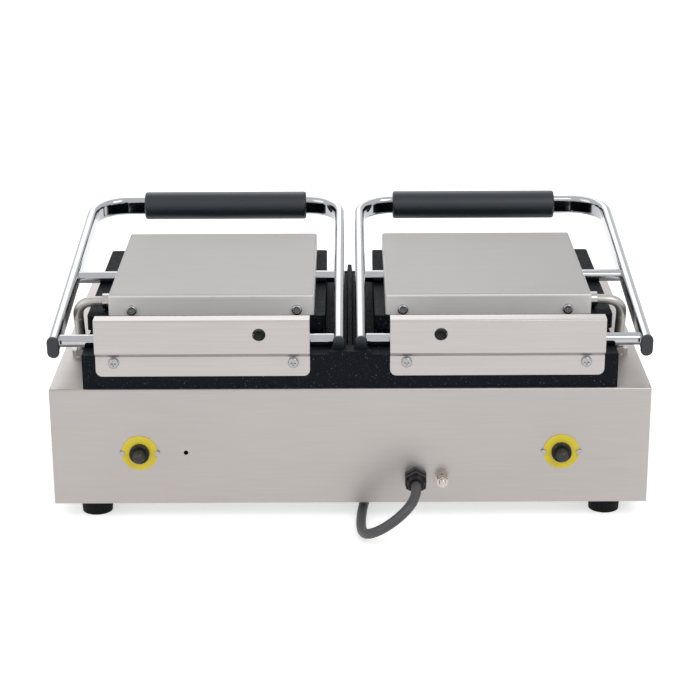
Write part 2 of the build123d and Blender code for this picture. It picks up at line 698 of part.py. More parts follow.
def upper_plate(side):
    """Cast upper plate: ribbed block below, deep rim above, screw lugs at both ends."""
    block_x = (UPPER_INNER_X + BLOCK_STEP_X, UPPER_OUTER_X - BLOCK_STEP_X)
    block_depth = (UPPER_REAR + BLOCK_STEP_DEPTH, UPPER_FRONT - BLOCK_STEP_DEPTH)
    points = [(block_x[0], UPPER_DECK_TOP), (block_x[0], UPPER_DECK_BOTTOM)]
    points += teeth(block_x[0] + 1, block_x[1] - 1, UPPER_DECK_BOTTOM, UPPER_RIB_LEVEL)
    points += [(block_x[1], UPPER_DECK_BOTTOM), (block_x[1], UPPER_DECK_TOP)]
    plate = front_prism(make_face(Polyline(*points, close=True)), block_depth)
    rim_x = (UPPER_INNER_X, UPPER_OUTER_X)
    rim_depth = (UPPER_REAR, UPPER_FRONT)
    rim = block(rim_x, rim_depth, (UPPER_RING_BOTTOM, UPPER_RING_TOP))
    rim = fillet(rim.edges().filter_by(Axis.Z), 3)
    rim += block(block_x, block_depth, (UPPER_DECK_BOTTOM, UPPER_RING_BOTTOM))
    inner_x = (rim_x[0] + UPPER_RING_WIDTH, rim_x[1] - UPPER_RING_WIDTH)
    inner_depth = (rim_depth[0] + UPPER_RING_WIDTH, rim_depth[1] - UPPER_RING_WIDTH)
    rim -= block(inner_x, inner_depth, (UPPER_DECK_TOP, UPPER_RING_TOP))
    rim -= along_x(SHAFT_RADIUS + CLEARANCE, (rim_x[0] - 1, rim_x[1] + 1), ROD_DEPTH, ROD_LEVEL)
    plate += rim
    lug_ends = (
        (COVER_REAR + COVER_SHEET, COVER_REAR + COVER_SHEET + SCREW_GRIP),
        (COVER_FRONT - COVER_SHEET - SCREW_GRIP, COVER_FRONT - COVER_SHEET),
    )
    for x in COVER_SCREW_X:
        for ends in lug_ends:
            top = (UPPER_RING_TOP, COVER_SCREW_LEVEL + 5)
            plate += block((x - 6, x + 6), ends, top)
            plate -= along_depth(SCREW_HOLE, x, ends, COVER_SCREW_LEVEL)
    return [on_side(plate, side)]


def pivot_brackets(side):
    """Ears on the upper plate with the bores that turn on the pivot rod."""
    ears = []
    for x in BRACKET_X:
        edge = (x - BRACKET_WIDTH / 2, x + BRACKET_WIDTH / 2)
        half = BRACKET_LENGTH / 2
        ear = block(edge, (ROD_DEPTH - half, ROD_DEPTH + half), (UPPER_DECK_TOP, BRACKET_TOP))
        ear = fillet(ear.edges().filter_by(Axis.X).group_by(Axis.Z)[-1], half - 3)
        ear -= along_x(SHAFT_RADIUS + RUNNING, edge, ROD_DEPTH, ROD_LEVEL)
        ears.append(on_side(ear, side))
    return ears


def upper_element(side):
    """Tubular heater on the upper plate's deck."""
    level = UPPER_DECK_TOP + HEATER_RADIUS + FLAT_GAP
    line = element_path(UPPER_HEATER_X, UPPER_HEATER_DEPTH, level)
    return [on_side(tube_on(line, HEATER_RADIUS), side)]


def top_cover(side):
    """Steel cover over the upper plate, open below, with holes for the rod and the conduit."""
    x = (COVER_INNER_X, COVER_OUTER_X)
    depth = (COVER_REAR, COVER_FRONT)
    cover = block(x, depth, (UPPER_RING_TOP, COVER_TOP))
    cover = fillet(cover.edges().filter_by(Axis.Z), COVER_ROUNDING)
    cover = fillet(cover.faces().sort_by(Axis.Z)[-1].edges(), COVER_ROUNDING)
    inner = block(
        (x[0] + COVER_SHEET, x[1] - COVER_SHEET),
        (depth[0] + COVER_SHEET, depth[1] - COVER_SHEET),
        (UPPER_RING_TOP, COVER_TOP - COVER_SHEET),
    )
    inner = fillet(inner.edges().filter_by(Axis.Z), COVER_ROUNDING - COVER_SHEET)
    cover -= fillet(inner.faces().sort_by(Axis.Z)[-1].edges(), COVER_ROUNDING - COVER_SHEET)
    cover -= along_x(SHAFT_RADIUS + CLEARANCE, (x[0] - 1, x[1] + 1), ROD_DEPTH, ROD_LEVEL)
    wall = (x[1] - COVER_SHEET - 1, x[1] + 1)
    cover -= along_x(HOSE_RADIUS, wall, HOSE_TOP_DEPTH, HOSE_TOP_LEVEL)
    for screw_x in COVER_SCREW_X:
        cover -= along_depth(SCREW_HOLE, screw_x, (depth[0] - 1, depth[1] + 1), COVER_SCREW_LEVEL)
    return [on_side(cover, side)]


def top_cover_screws(side):
    """Pan head screws at the rear and front of one top cover."""
    screws = []
    for x in COVER_SCREW_X:
        screws.append(pan_screw(side * x, COVER_REAR, COVER_SCREW_LEVEL))
        screws.append(pan_screw(side * x, COVER_FRONT, COVER_SCREW_LEVEL, direction=-1))
    return screws


def hose_fitting(side):
    """Threaded fitting that joins the conduit to the top cover."""
    fitting = along_x(
        HOSE_FITTING,
        (COVER_OUTER_X, COVER_OUTER_X + HOSE_FITTING_LENGTH),
        HOSE_TOP_DEPTH,
        HOSE_TOP_LEVEL,
    )
    neck = (COVER_OUTER_X - COVER_SHEET - 4, COVER_OUTER_X)
    fitting += along_x(HOSE_RADIUS - FLAT_GAP, neck, HOSE_TOP_DEPTH, HOSE_TOP_LEVEL)
    return [on_side(fitting, side)]


def conduit_nuts():
    """Hexagonal nuts and washers that hold the conduits in the top sheet."""
    nuts = []
    for side in SIDES.values():
        place = Pos(side * HOSE_X, REAR_Y - HOSE_DEPTH, BASE_TOP)
        nut = place * extrude(Circle(HOSE_NUT), amount=1)
        face = RegularPolygon(HOSE_NUT - 1, 6, major_radius=False)
        nut += place * Pos(0, 0, 1) * extrude(face, amount=HOSE_NUT_HEIGHT - 1)
        nut += place * Pos(0, 0, -SHEET - 6) * extrude(Circle(HOSE_RADIUS), amount=SHEET + 6)
        nuts.append(nut)
    return nuts


def conduit(side):
    """Flexible conduit from the top cover's side down to the top sheet."""
    start_x = COVER_OUTER_X + HOSE_FITTING_LENGTH
    line = FilletPolyline(
        (start_x, REAR_Y - HOSE_TOP_DEPTH, BASE_TOP + HOSE_TOP_LEVEL),
        (HOSE_X, REAR_Y - HOSE_TOP_DEPTH, BASE_TOP + HOSE_TOP_LEVEL),
        (HOSE_X, REAR_Y - HOSE_DEPTH, BASE_TOP + HOSE_TOP_LEVEL / 2),
        (HOSE_X, REAR_Y - HOSE_DEPTH, BASE_TOP + HOSE_NUT_HEIGHT),
        radius=[HOSE_BEND, HOSE_SWEEP],
    )
    return [on_side(tube_on(line, HOSE_RADIUS), side)]


def thermostats():
    """Thermostat bodies behind the front, each with the shaft that carries its knob."""
    back = BASE_DEPTH - SHEET
    half = THERMOSTAT_SIZE / 2
    bodies = []
    for side in SIDES.values():
        x = side * KNOB_X
        level = (CONTROL_LEVEL - half, CONTROL_LEVEL + half)
        body = block((x - half, x + half), (back - THERMOSTAT_DEPTH, back), level)
        shaft = (back, BASE_DEPTH + KNOB_DEPTH - 6)
        body += along_depth(KNOB_SHAFT, x, shaft, CONTROL_LEVEL)
        bodies.append(body)
    return bodies


def knob(side):
    """Dial with a wide skirt, a gripping body and a raised pointer."""
    front = BASE_DEPTH + KNOB_DEPTH + 2
    back = BASE_DEPTH + CLEARANCE
    x = side * KNOB_X
    points = [
        (0, back),
        (KNOB_SKIRT, back),
        (KNOB_SKIRT - 1, back + 2.5),
        (KNOB_RADIUS, back + 4),
        (KNOB_RADIUS - 2, front - 2),
        (KNOB_RADIUS - 4, front),
        (0, front),
    ]
    dial = turned(points, x, CONTROL_LEVEL)
    pointer = (CONTROL_LEVEL + 4, CONTROL_LEVEL + KNOB_RADIUS - 5)
    dial += block((x - 1.5, x + 1.5), (front, front + 1), pointer)
    bore = (back, BASE_DEPTH + KNOB_DEPTH - 5)
    dial -= along_depth(KNOB_SHAFT + RUNNING, x, bore, CONTROL_LEVEL)
    return [dial]


def switch_housings():
    """Rocker switch frames clipped in the front, with their bodies behind it."""
    shapes = []
    for side in SIDES.values():
        x = side * ROCKER_X
        half_x, half_z = ROCKER_BEZEL[0] / 2, ROCKER_BEZEL[1] / 2
        inner_x, inner_z = ROCKER_SIZE[0] / 2 + 0.8, ROCKER_SIZE[1] / 2 + 0.8
        bezel = block(
            (x - half_x, x + half_x),
            (BASE_DEPTH, BASE_DEPTH + 3),
            (CONTROL_LEVEL - half_z, CONTROL_LEVEL + half_z),
        )
        body = (BASE_DEPTH - ROCKER_BODY, BASE_DEPTH)
        bezel += block((x - inner_x, x + inner_x), body, (CONTROL_LEVEL - inner_z, CONTROL_LEVEL + inner_z))
        well = (BASE_DEPTH - 8, BASE_DEPTH + 3)
        half_w, half_h = ROCKER_SIZE[0] / 2 + 0.3, ROCKER_SIZE[1] / 2 + 0.3
        bezel -= block((x - half_w, x + half_w), well, (CONTROL_LEVEL - half_h, CONTROL_LEVEL + half_h))
        for step in (-1, 1):
            ear = sorted((x + step * half_w, x + step * (half_w - 0.25)))
            bezel += along_x(1.5, ear, BASE_DEPTH - 3, CONTROL_LEVEL)
        shapes.append(bezel)
    return shapes


def rocker(side):
    """Rocker paddle, resting with its lower half out."""
    x = side * ROCKER_X
    half = ROCKER_SIZE[0] / 2
    reach = ROCKER_SIZE[1] / 2 - 1
    points = [(-reach, 1), (-reach, 5.5), (0, 4.2), (reach, 5.5), (reach, 1), (0, -2)]
    face = make_face(Polyline(*points, close=True))
    plane = Plane(origin=(x - half, 0, 0), x_dir=(0, 0, 1), z_dir=(1, 0, 0))
    paddle = extrude(plane * face, amount=2 * half)
    place = Pos(0, REAR_Y - (BASE_DEPTH - 3), BASE_TOP + CONTROL_LEVEL)
    return [place * Rot(-ROCKER_TILT, 0, 0) * paddle]


def indicator_lamps():
    """Domed lamps in the front, two beside each knob."""
    lamps = []
    for side in SIDES.values():
        for step in (-1, 1):
            level = CONTROL_LEVEL + step * LAMP_SPREAD
            points = [
                (0, BASE_DEPTH - LAMP_BODY),
                (LAMP_RADIUS - FLAT_GAP, BASE_DEPTH - LAMP_BODY),
                (LAMP_RADIUS - FLAT_GAP, BASE_DEPTH),
                (LAMP_RADIUS + 1.5, BASE_DEPTH),
                (LAMP_RADIUS + 1.5, BASE_DEPTH + 1),
                (LAMP_RADIUS - 0.5, BASE_DEPTH + 3),
                (0, BASE_DEPTH + 4),
            ]
            lamps.append(turned(points, side * LAMP_X, level))
    return lamps


def reset_cutouts():
    """Overheat cut-out bodies behind the rear panel, with their necks through it."""
    shapes = []
    for side in SIDES.values():
        points = [
            (BOOT_STEM + RUNNING, -NECK_REACH),
            (NECK_RADIUS, -NECK_REACH),
            (NECK_RADIUS, SHEET),
            (CUTOUT_RADIUS, SHEET),
            (CUTOUT_RADIUS, SHEET + CUTOUT_LENGTH),
            (0, SHEET + CUTOUT_LENGTH),
            (0, SHEET + CUTOUT_LENGTH - 8),
            (BOOT_STEM + RUNNING, SHEET + CUTOUT_LENGTH - 8),
        ]
        shapes.append(turned(points, side * RESET_X, REAR_CONTROL_LEVEL))
    return shapes


def reset_collars():
    """Round nuts on the cut-out necks, over the label discs."""
    shapes = []
    for side in SIDES.values():
        points = [
            (NECK_RADIUS + 0.1, -LABEL_THICKNESS),
            (COLLAR_RADIUS, -LABEL_THICKNESS),
            (COLLAR_RADIUS, -COLLAR_REACH + 1),
            (COLLAR_RADIUS - 1, -COLLAR_REACH),
            (BOOT_RADIUS + CLEARANCE, -COLLAR_REACH),
            (BOOT_RADIUS + CLEARANCE, -NECK_REACH),
            (NECK_RADIUS + 0.1, -NECK_REACH),
        ]
        shapes.append(turned(points, side * RESET_X, REAR_CONTROL_LEVEL))
    return shapes


def reset_button(side):
    """Tapered rubber boot with its stem."""
    points = [
        (0, -BOOT_REACH),
        (BOOT_TIP - 2, -BOOT_REACH),
        (BOOT_TIP, -BOOT_REACH + 1.5),
        (BOOT_RADIUS, -BOOT_SEAT - 2),
        (BOOT_RADIUS, -BOOT_SEAT),
        (BOOT_STEM, -BOOT_SEAT),
        (BOOT_STEM, SHEET + 8),
        (0, SHEET + 8),
    ]
    return [turned(points, side * RESET_X, REAR_CONTROL_LEVEL)]


def reset_labels():
    """Thin yellow discs behind the collars."""
    labels = []
    for side in SIDES.values():
        disc = along_depth(LABEL_RADIUS, side * RESET_X, (-LABEL_THICKNESS, 0), REAR_CONTROL_LEVEL)
        disc -= along_depth(NECK_RADIUS + 0.1, side * RESET_X, (-LABEL_THICKNESS, 0), REAR_CONTROL_LEVEL)
        for step in (-1, 1):
            x = side * RESET_X + step * LABEL_SCREW_OFFSET
            disc -= along_depth(LABEL_SCREW, x, (-LABEL_THICKNESS, 0), REAR_CONTROL_LEVEL)
        labels.append(disc)
    return labels


def reset_label_screws():
    """Small round screws through the label discs."""
    screws = []
    for side in SIDES.values():
        for step in (-1, 1):
            x = side * RESET_X + step * LABEL_SCREW_OFFSET
            head = along_depth(2.4, x, (-LABEL_THICKNESS - 1.4, -LABEL_THICKNESS), REAR_CONTROL_LEVEL)
            shank = (-LABEL_THICKNESS, SHEET + 5)
            screws.append(head + along_depth(LABEL_SCREW - 0.1, x, shank, REAR_CONTROL_LEVEL))
    return screws


def drip_tray():
    """Sliding tray under the gutter's spout, with its front and pull lip."""
    half = TRAY_WIDTH / 2
    floor = TRAY_FLOOR_LEVEL
    depth = (TRAY_BACK, BASE_DEPTH)
    tray = block((-half, half), depth, (floor, floor + TRAY_HEIGHT))
    tray -= block(
        (-half + TRAY_WALL, half - TRAY_WALL),
        (depth[0] + TRAY_WALL, depth[1]),
        (floor + TRAY_WALL, floor + TRAY_HEIGHT),
    )
    edge = half + TRAY_FRONT_OVERLAP
    low, high = floor - TRAY_FRONT_OVERLAP / 2, floor + TRAY_HEIGHT + TRAY_FRONT_OVERLAP / 2
    front = block((-edge, edge), (BASE_DEPTH + CLEARANCE, BASE_DEPTH + 2), (low, high))
    inside = (-half + TRAY_WALL, half - TRAY_WALL)
    front += block(inside, (BASE_DEPTH - 1, BASE_DEPTH + 1), (floor, floor + TRAY_HEIGHT - 2))
    front += block((-edge, edge), (BASE_DEPTH + CLEARANCE, BASE_DEPTH + TRAY_PULL), (high - 2, high))
    return [tray + front]


def tray_rails():
    """Angles on the floor sheet that carry and guide the tray."""
    low = -PANEL_HEIGHT + SHEET
    seat = TRAY_FLOOR_LEVEL - CLEARANCE
    half = TRAY_WIDTH / 2
    depth = (TRAY_BACK - 10, BASE_DEPTH - SHEET - 1)
    rails = []
    for side in SIDES.values():
        rail = block((half - RAIL_WIDTH, half + 3), depth, (low, seat))
        rail += block((half + 0.5, half + 3), depth, (low, seat + RAIL_HEIGHT))
        rails.append(on_side(rail, side))
    return rails


def terminal_block():
    """Mains terminal block on the floor sheet, behind the cable gland."""
    low = -PANEL_HEIGHT + SHEET
    half = TERMINAL_LENGTH / 2
    top = low + TERMINAL_HEIGHT
    body = block((GLAND_X - half, GLAND_X + half), TERMINAL_DEPTH, (low, top))
    for index in range(TERMINAL_WAYS):
        x = GLAND_X + (index - (TERMINAL_WAYS - 1) / 2) * TERMINAL_LENGTH / TERMINAL_WAYS
        body -= upright(TERMINAL_BORE, x, sum(TERMINAL_DEPTH) / 2, (low + TERMINAL_FLOOR, top))
    return [body]


def cable_gland():
    """Nylon gland: hexagon on the panel, dome nut, and locknut inside."""
    gland = hexagon(GLAND_FLATS, GLAND_X, (-GLAND_BASE, 0), GLAND_LEVEL)
    gland += hexagon(GLAND_FLATS - 1, GLAND_X, (-GLAND_NUT, -GLAND_BASE), GLAND_LEVEL)
    dome = GLAND_FLATS / 2 - 1
    mouth = CORD_RADIUS + 2.5
    points = [(0, -GLAND_NUT), (dome, -GLAND_NUT), (mouth, -GLAND_REACH), (0, -GLAND_REACH)]
    gland += turned(points, GLAND_X, GLAND_LEVEL)
    gland += along_depth(CORD_RADIUS + 1.8, GLAND_X, (0, SHEET + 9), GLAND_LEVEL)
    gland += hexagon(GLAND_FLATS, GLAND_X, (SHEET, SHEET + 5), GLAND_LEVEL)
    return [gland]


def bonding_terminal():
    """Equipotential stud with its two nuts and washer on the rear panel."""
    stud = along_depth(BOND_RADIUS - 0.1, BOND_X, (-BOND_REACH, SHEET + 8), BOND_LEVEL)
    stud += along_depth(BOND_NUT, BOND_X, (-1, 0), BOND_LEVEL)
    stud += hexagon(2 * BOND_NUT - 1.6, BOND_X, (-6, -1), BOND_LEVEL)
    stud += along_depth(BOND_NUT, BOND_X, (-9, -8), BOND_LEVEL)
    stud += hexagon(2 * BOND_NUT - 1.6, BOND_X, (-14, -9), BOND_LEVEL)
    stud += hexagon(2 * BOND_NUT - 1.6, BOND_X, (SHEET, SHEET + 5), BOND_LEVEL)
    return [stud]


def coil_place(turn):
    """Centre line of the coil after so many turns, in world coordinates."""
    reversal = LOWER_TURNS + CLIMB_TURNS / 2
    radius = COIL_OUTER - TURN_PITCH * (reversal - abs(turn - reversal))
    share = min(max((turn - LOWER_TURNS) / CLIMB_TURNS, 0), 1)
    climb = (1 - math.cos(math.pi * share)) / 2
    angle = -2 * math.pi * turn
    x = COIL_CENTRE[0] + radius * math.cos(angle)
    y = REAR_Y - COIL_CENTRE[1] + radius * math.sin(angle)
    return Vector(x, y, CORD_RADIUS + climb * LAYER_STEP)


def coil_direction(turn):
    """Unit tangent of the coil's centre line, level where the coil starts and ends."""
    step = 0.002
    return (coil_place(turn + step) - coil_place(turn - step)).normalized()


def biarc(start, start_way, end, end_way):
    """Two arcs that leave one point in one direction and reach another in another."""
    chord = end - start
    ways = start_way + end_way
    spread = 2 * (1 - start_way.dot(end_way))
    along = chord.dot(ways)
    reach = (math.sqrt(along * along + spread * chord.dot(chord)) - along) / spread
    joint = (start + end + (start_way - end_way) * reach) * 0.5
    joint_way = (end - end_way * reach - start - start_way * reach).normalized()
    return [Edge.make_tangent_arc(start, start_way, joint), Edge.make_tangent_arc(joint, joint_way, end)]


def coil_turns():
    """Total number of turns."""
    return LOWER_TURNS + CLIMB_TURNS + UPPER_TURNS


def coil_line():
    """The coil's whole centre line: a straight lead in, quarter turns, a straight lead out."""
    steps = round(coil_turns() * 4)
    places = [coil_place(index / 4) for index in range(steps + 1)]
    ways = [coil_direction(index / 4) for index in range(steps + 1)]
    edges = [Edge.make_line(places[0] - ways[0] * COIL_LEAD, places[0])]
    for index in range(steps):
        edges += biarc(places[index], ways[index], places[index + 1], ways[index + 1])
    edges.append(Edge.make_line(places[-1], places[-1] + ways[-1] * COIL_TAIL))
    return Wire(edges)


def cord_points():
    """Route from the gland in a U turn to the floor and forwards under the grill to the coil."""
    side = 27.0
    gland_height = BASE_TOP + GLAND_LEVEL
    drop = gland_height - CORD_RADIUS
    span = side * (1 + math.sqrt(2))
    # The turn lies in a plane that leans sideways, so that its width fits the drop.
    down = Vector(math.sqrt(span * span - drop * drop) / span, 0, -drop / span)
    back = Vector(0, 1, 0)
    half = math.sqrt(0.5)
    point = Vector(GLAND_X, REAR_Y + GLAND_REACH, gland_height)
    points = [point]
    for way in (back, (back + down) * half, down, (down - back) * half):
        point = point + way * side
        points.append(point)
    forward = ((-10.5, 12.0), (-17.5, 58.0), (-25.0, 140.0), (-42.0, 240.0))
    points += [Vector(x, REAR_Y - depth, CORD_RADIUS) for x, depth in forward]
    coil_start = coil_place(0) - coil_direction(0) * COIL_LEAD
    points += [coil_start - coil_direction(0) * APPROACH_RUN, coil_start]
    return points


def corner_radii(points):
    """Bend radius at each corner: as large as its two runs allow."""
    radii = []
    for before, corner, after in zip(points, points[1:], points[2:]):
        arriving, leaving = corner - before, after - corner
        half_turn = math.radians(arriving.get_angle(leaving)) / 2
        radii.append(0.45 * min(arriving.length, leaving.length) / math.tan(half_turn))
    return radii


def cord():
    """The cord's free stretch, as straight runs joined by tangent arcs."""
    points = cord_points()
    radii = corner_radii(points)
    line = FilletPolyline(*points, radius=radii)
    tube = tube_on(line, CORD_RADIUS)
    section = math.pi * CORD_RADIUS ** 2
    print("cord radii", [round(radius, 1) for radius in radii], "length", round(line.length, 1))
    print("cord volume over section times length", round(tube.volume / (section * line.length), 4))
    return [tube]


def cord_coil():
    """The put away length, wound in two layers."""
    line = coil_line()
    tube = tube_on(line, CORD_RADIUS)
    samples = [line.position_at(index / 600) for index in range(601)]
    own_turn = 40
    least = min(
        (samples[i] - samples[j]).length
        for i in range(len(samples))
        for j in range(i + own_turn, len(samples))
    )
    print("coil length", round(line.length, 1), "least gap", round(least - 2 * CORD_RADIUS, 2))
    return [tube]


def plug_frame():
    """Where the cord enters the plug, with the local X axis along the cord."""
    way = coil_direction(coil_turns())
    entry = coil_place(coil_turns()) + way * COIL_TAIL
    flat = Vector(way.X, way.Y, 0).normalized()
    return Location(Plane(origin=entry, x_dir=flat, z_dir=(0, 0, 1)))


def plug():
    """Three pin plug body lying on its back."""
    half_height = CORD_RADIUS + LAYER_STEP
    sleeve = 10.0
    body = Pos(sleeve + PLUG_LENGTH / 2, 0, 0) * Box(PLUG_LENGTH, PLUG_WIDTH, 2 * half_height)
    body = fillet(body.edges().filter_by(Axis.Z), 9)
    body = fillet(body.faces().sort_by(Axis.Z)[-1].edges(), 2.5)
    neck = Rot(0, 90, 0) * extrude(Circle(CORD_RADIUS + 1.5), amount=sleeve, taper=-8)
    return [plug_frame() * (body + neck)]


def plug_pins():
    """The plug's three flat pins."""
    top = CORD_RADIUS + LAYER_STEP
    middle = 10 + PLUG_LENGTH / 2
    pins = []
    for across in (-PIN_SPACING / 2, PIN_SPACING / 2):
        pins.append(Pos(middle - 10, across, top + PIN_LENGTH / 2) * Box(PIN_DEPTH, 6.35, PIN_LENGTH))
    earth = Pos(middle - 10 + PIN_SPACING * 0.9, 0, top + EARTH_LENGTH / 2) * Box(8, PIN_DEPTH, EARTH_LENGTH)
    pins.append(earth)
    return [plug_frame() * pin for pin in pins]


def save(node, shapes):
    """Write one node's solids to its own file."""
    solids = [solid for shape in shapes for solid in shape.solids()]
    whole = solids[0] if len(solids) == 1 else Compound(children=solids)
    whole.label = node
    export_step(whole, f"parts/{node}.step")


def main():
    """Write every node."""
    os.makedirs("parts", exist_ok=True)
    for build in (
        base_shell, rear_panel, bottom_plate, rubber_feet, foot_screws, lower_plate, lower_elements,
        element_clamps, rear_cover_screws, conduit_nuts, thermostats, switch_housings, indicator_lamps,
        reset_cutouts, reset_collars, reset_labels, reset_label_screws, drip_tray, tray_rails,
        terminal_block, cable_gland, bonding_terminal, cord, cord_coil, plug, plug_pins,
    ):
        save(build.__name__, build())
    save("hinge_bearings", both_sides(hinge_bearings))
    save("torsion_springs", both_sides(torsion_spring))
    save("spring_anchors", both_sides(spring_anchor))
    save("rear_covers", both_sides(rear_cover))
    for name, side in SIDES.items():
        for build in (
            handle_tube, handle_grip, handle_end_caps, upper_plate, pivot_brackets, upper_element,
            top_cover, top_cover_screws, hose_fitting, conduit, knob, rocker, reset_button,
        ):
            save(f"{build.__name__}_{name}", build(side))
        save(f"hinge_shaft_{name}", cross_shaft(side, 0))
        save(f"pivot_rod_{name}", cross_shaft(side, ROD_REACH))
    print("origin depth", round(REAR_Y, 2), "rod", round(ROD_DEPTH, 2), round(ROD_LEVEL, 2))


if __name__ == "__main__":
    main()
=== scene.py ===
"""Double contact grill: finishes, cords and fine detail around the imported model."""

from __future__ import annotations

import logging
import math
from dataclasses import dataclass, field
from enum import Enum
from typing import NamedTuple

import bpy
from mathutils import Matrix, Vector

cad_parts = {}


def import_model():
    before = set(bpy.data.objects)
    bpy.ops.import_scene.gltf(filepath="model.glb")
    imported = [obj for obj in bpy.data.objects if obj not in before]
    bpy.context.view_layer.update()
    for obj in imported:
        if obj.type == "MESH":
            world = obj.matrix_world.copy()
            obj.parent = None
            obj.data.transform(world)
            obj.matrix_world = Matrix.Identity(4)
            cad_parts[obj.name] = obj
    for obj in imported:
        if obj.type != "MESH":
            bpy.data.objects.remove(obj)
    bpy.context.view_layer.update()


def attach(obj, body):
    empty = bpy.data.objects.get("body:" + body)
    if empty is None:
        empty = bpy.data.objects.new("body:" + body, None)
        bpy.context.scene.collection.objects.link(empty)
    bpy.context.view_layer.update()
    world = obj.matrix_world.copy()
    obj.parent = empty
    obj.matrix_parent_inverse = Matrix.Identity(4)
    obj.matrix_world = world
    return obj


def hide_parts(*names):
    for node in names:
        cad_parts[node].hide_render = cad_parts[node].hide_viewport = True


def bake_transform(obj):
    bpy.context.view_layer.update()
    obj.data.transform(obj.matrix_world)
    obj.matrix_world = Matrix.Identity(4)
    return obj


LOG = logging.getLogger("grill")

MM = 0.001
SIDES = {"left": -1, "right": 1}
MEASURE_DIGITS = 6
SMOOTH_ANGLE = 35.0
PRINT_RESOLUTION = 3
CURVE_ORDER = 3

# A colour Mix node has sockets of the same name for each type, so these are its colour ones.
MIX_FIRST = 6
MIX_SECOND = 7
MIX_RESULT = 2

NOISE_DETAIL = 4.0
CLOUD_SCALE = 9.0
SPECK_LEVEL = 0.70
SPECK_EDGE = 0.04
# Upward faces get painted shade: it starts where the normal's height passes the first value and is
# full at the second.
PAINTED_TOP_SHADE_START = 0.60
PAINTED_TOP_SHADE_FULL = 0.95


class Grain(Enum):
    """Which way a finish is stretched: its values are texture scales along X, Y and Z."""

    EVEN = (1.0, 1.0, 1.0)
    ACROSS = (0.02, 1.0, 1.0)


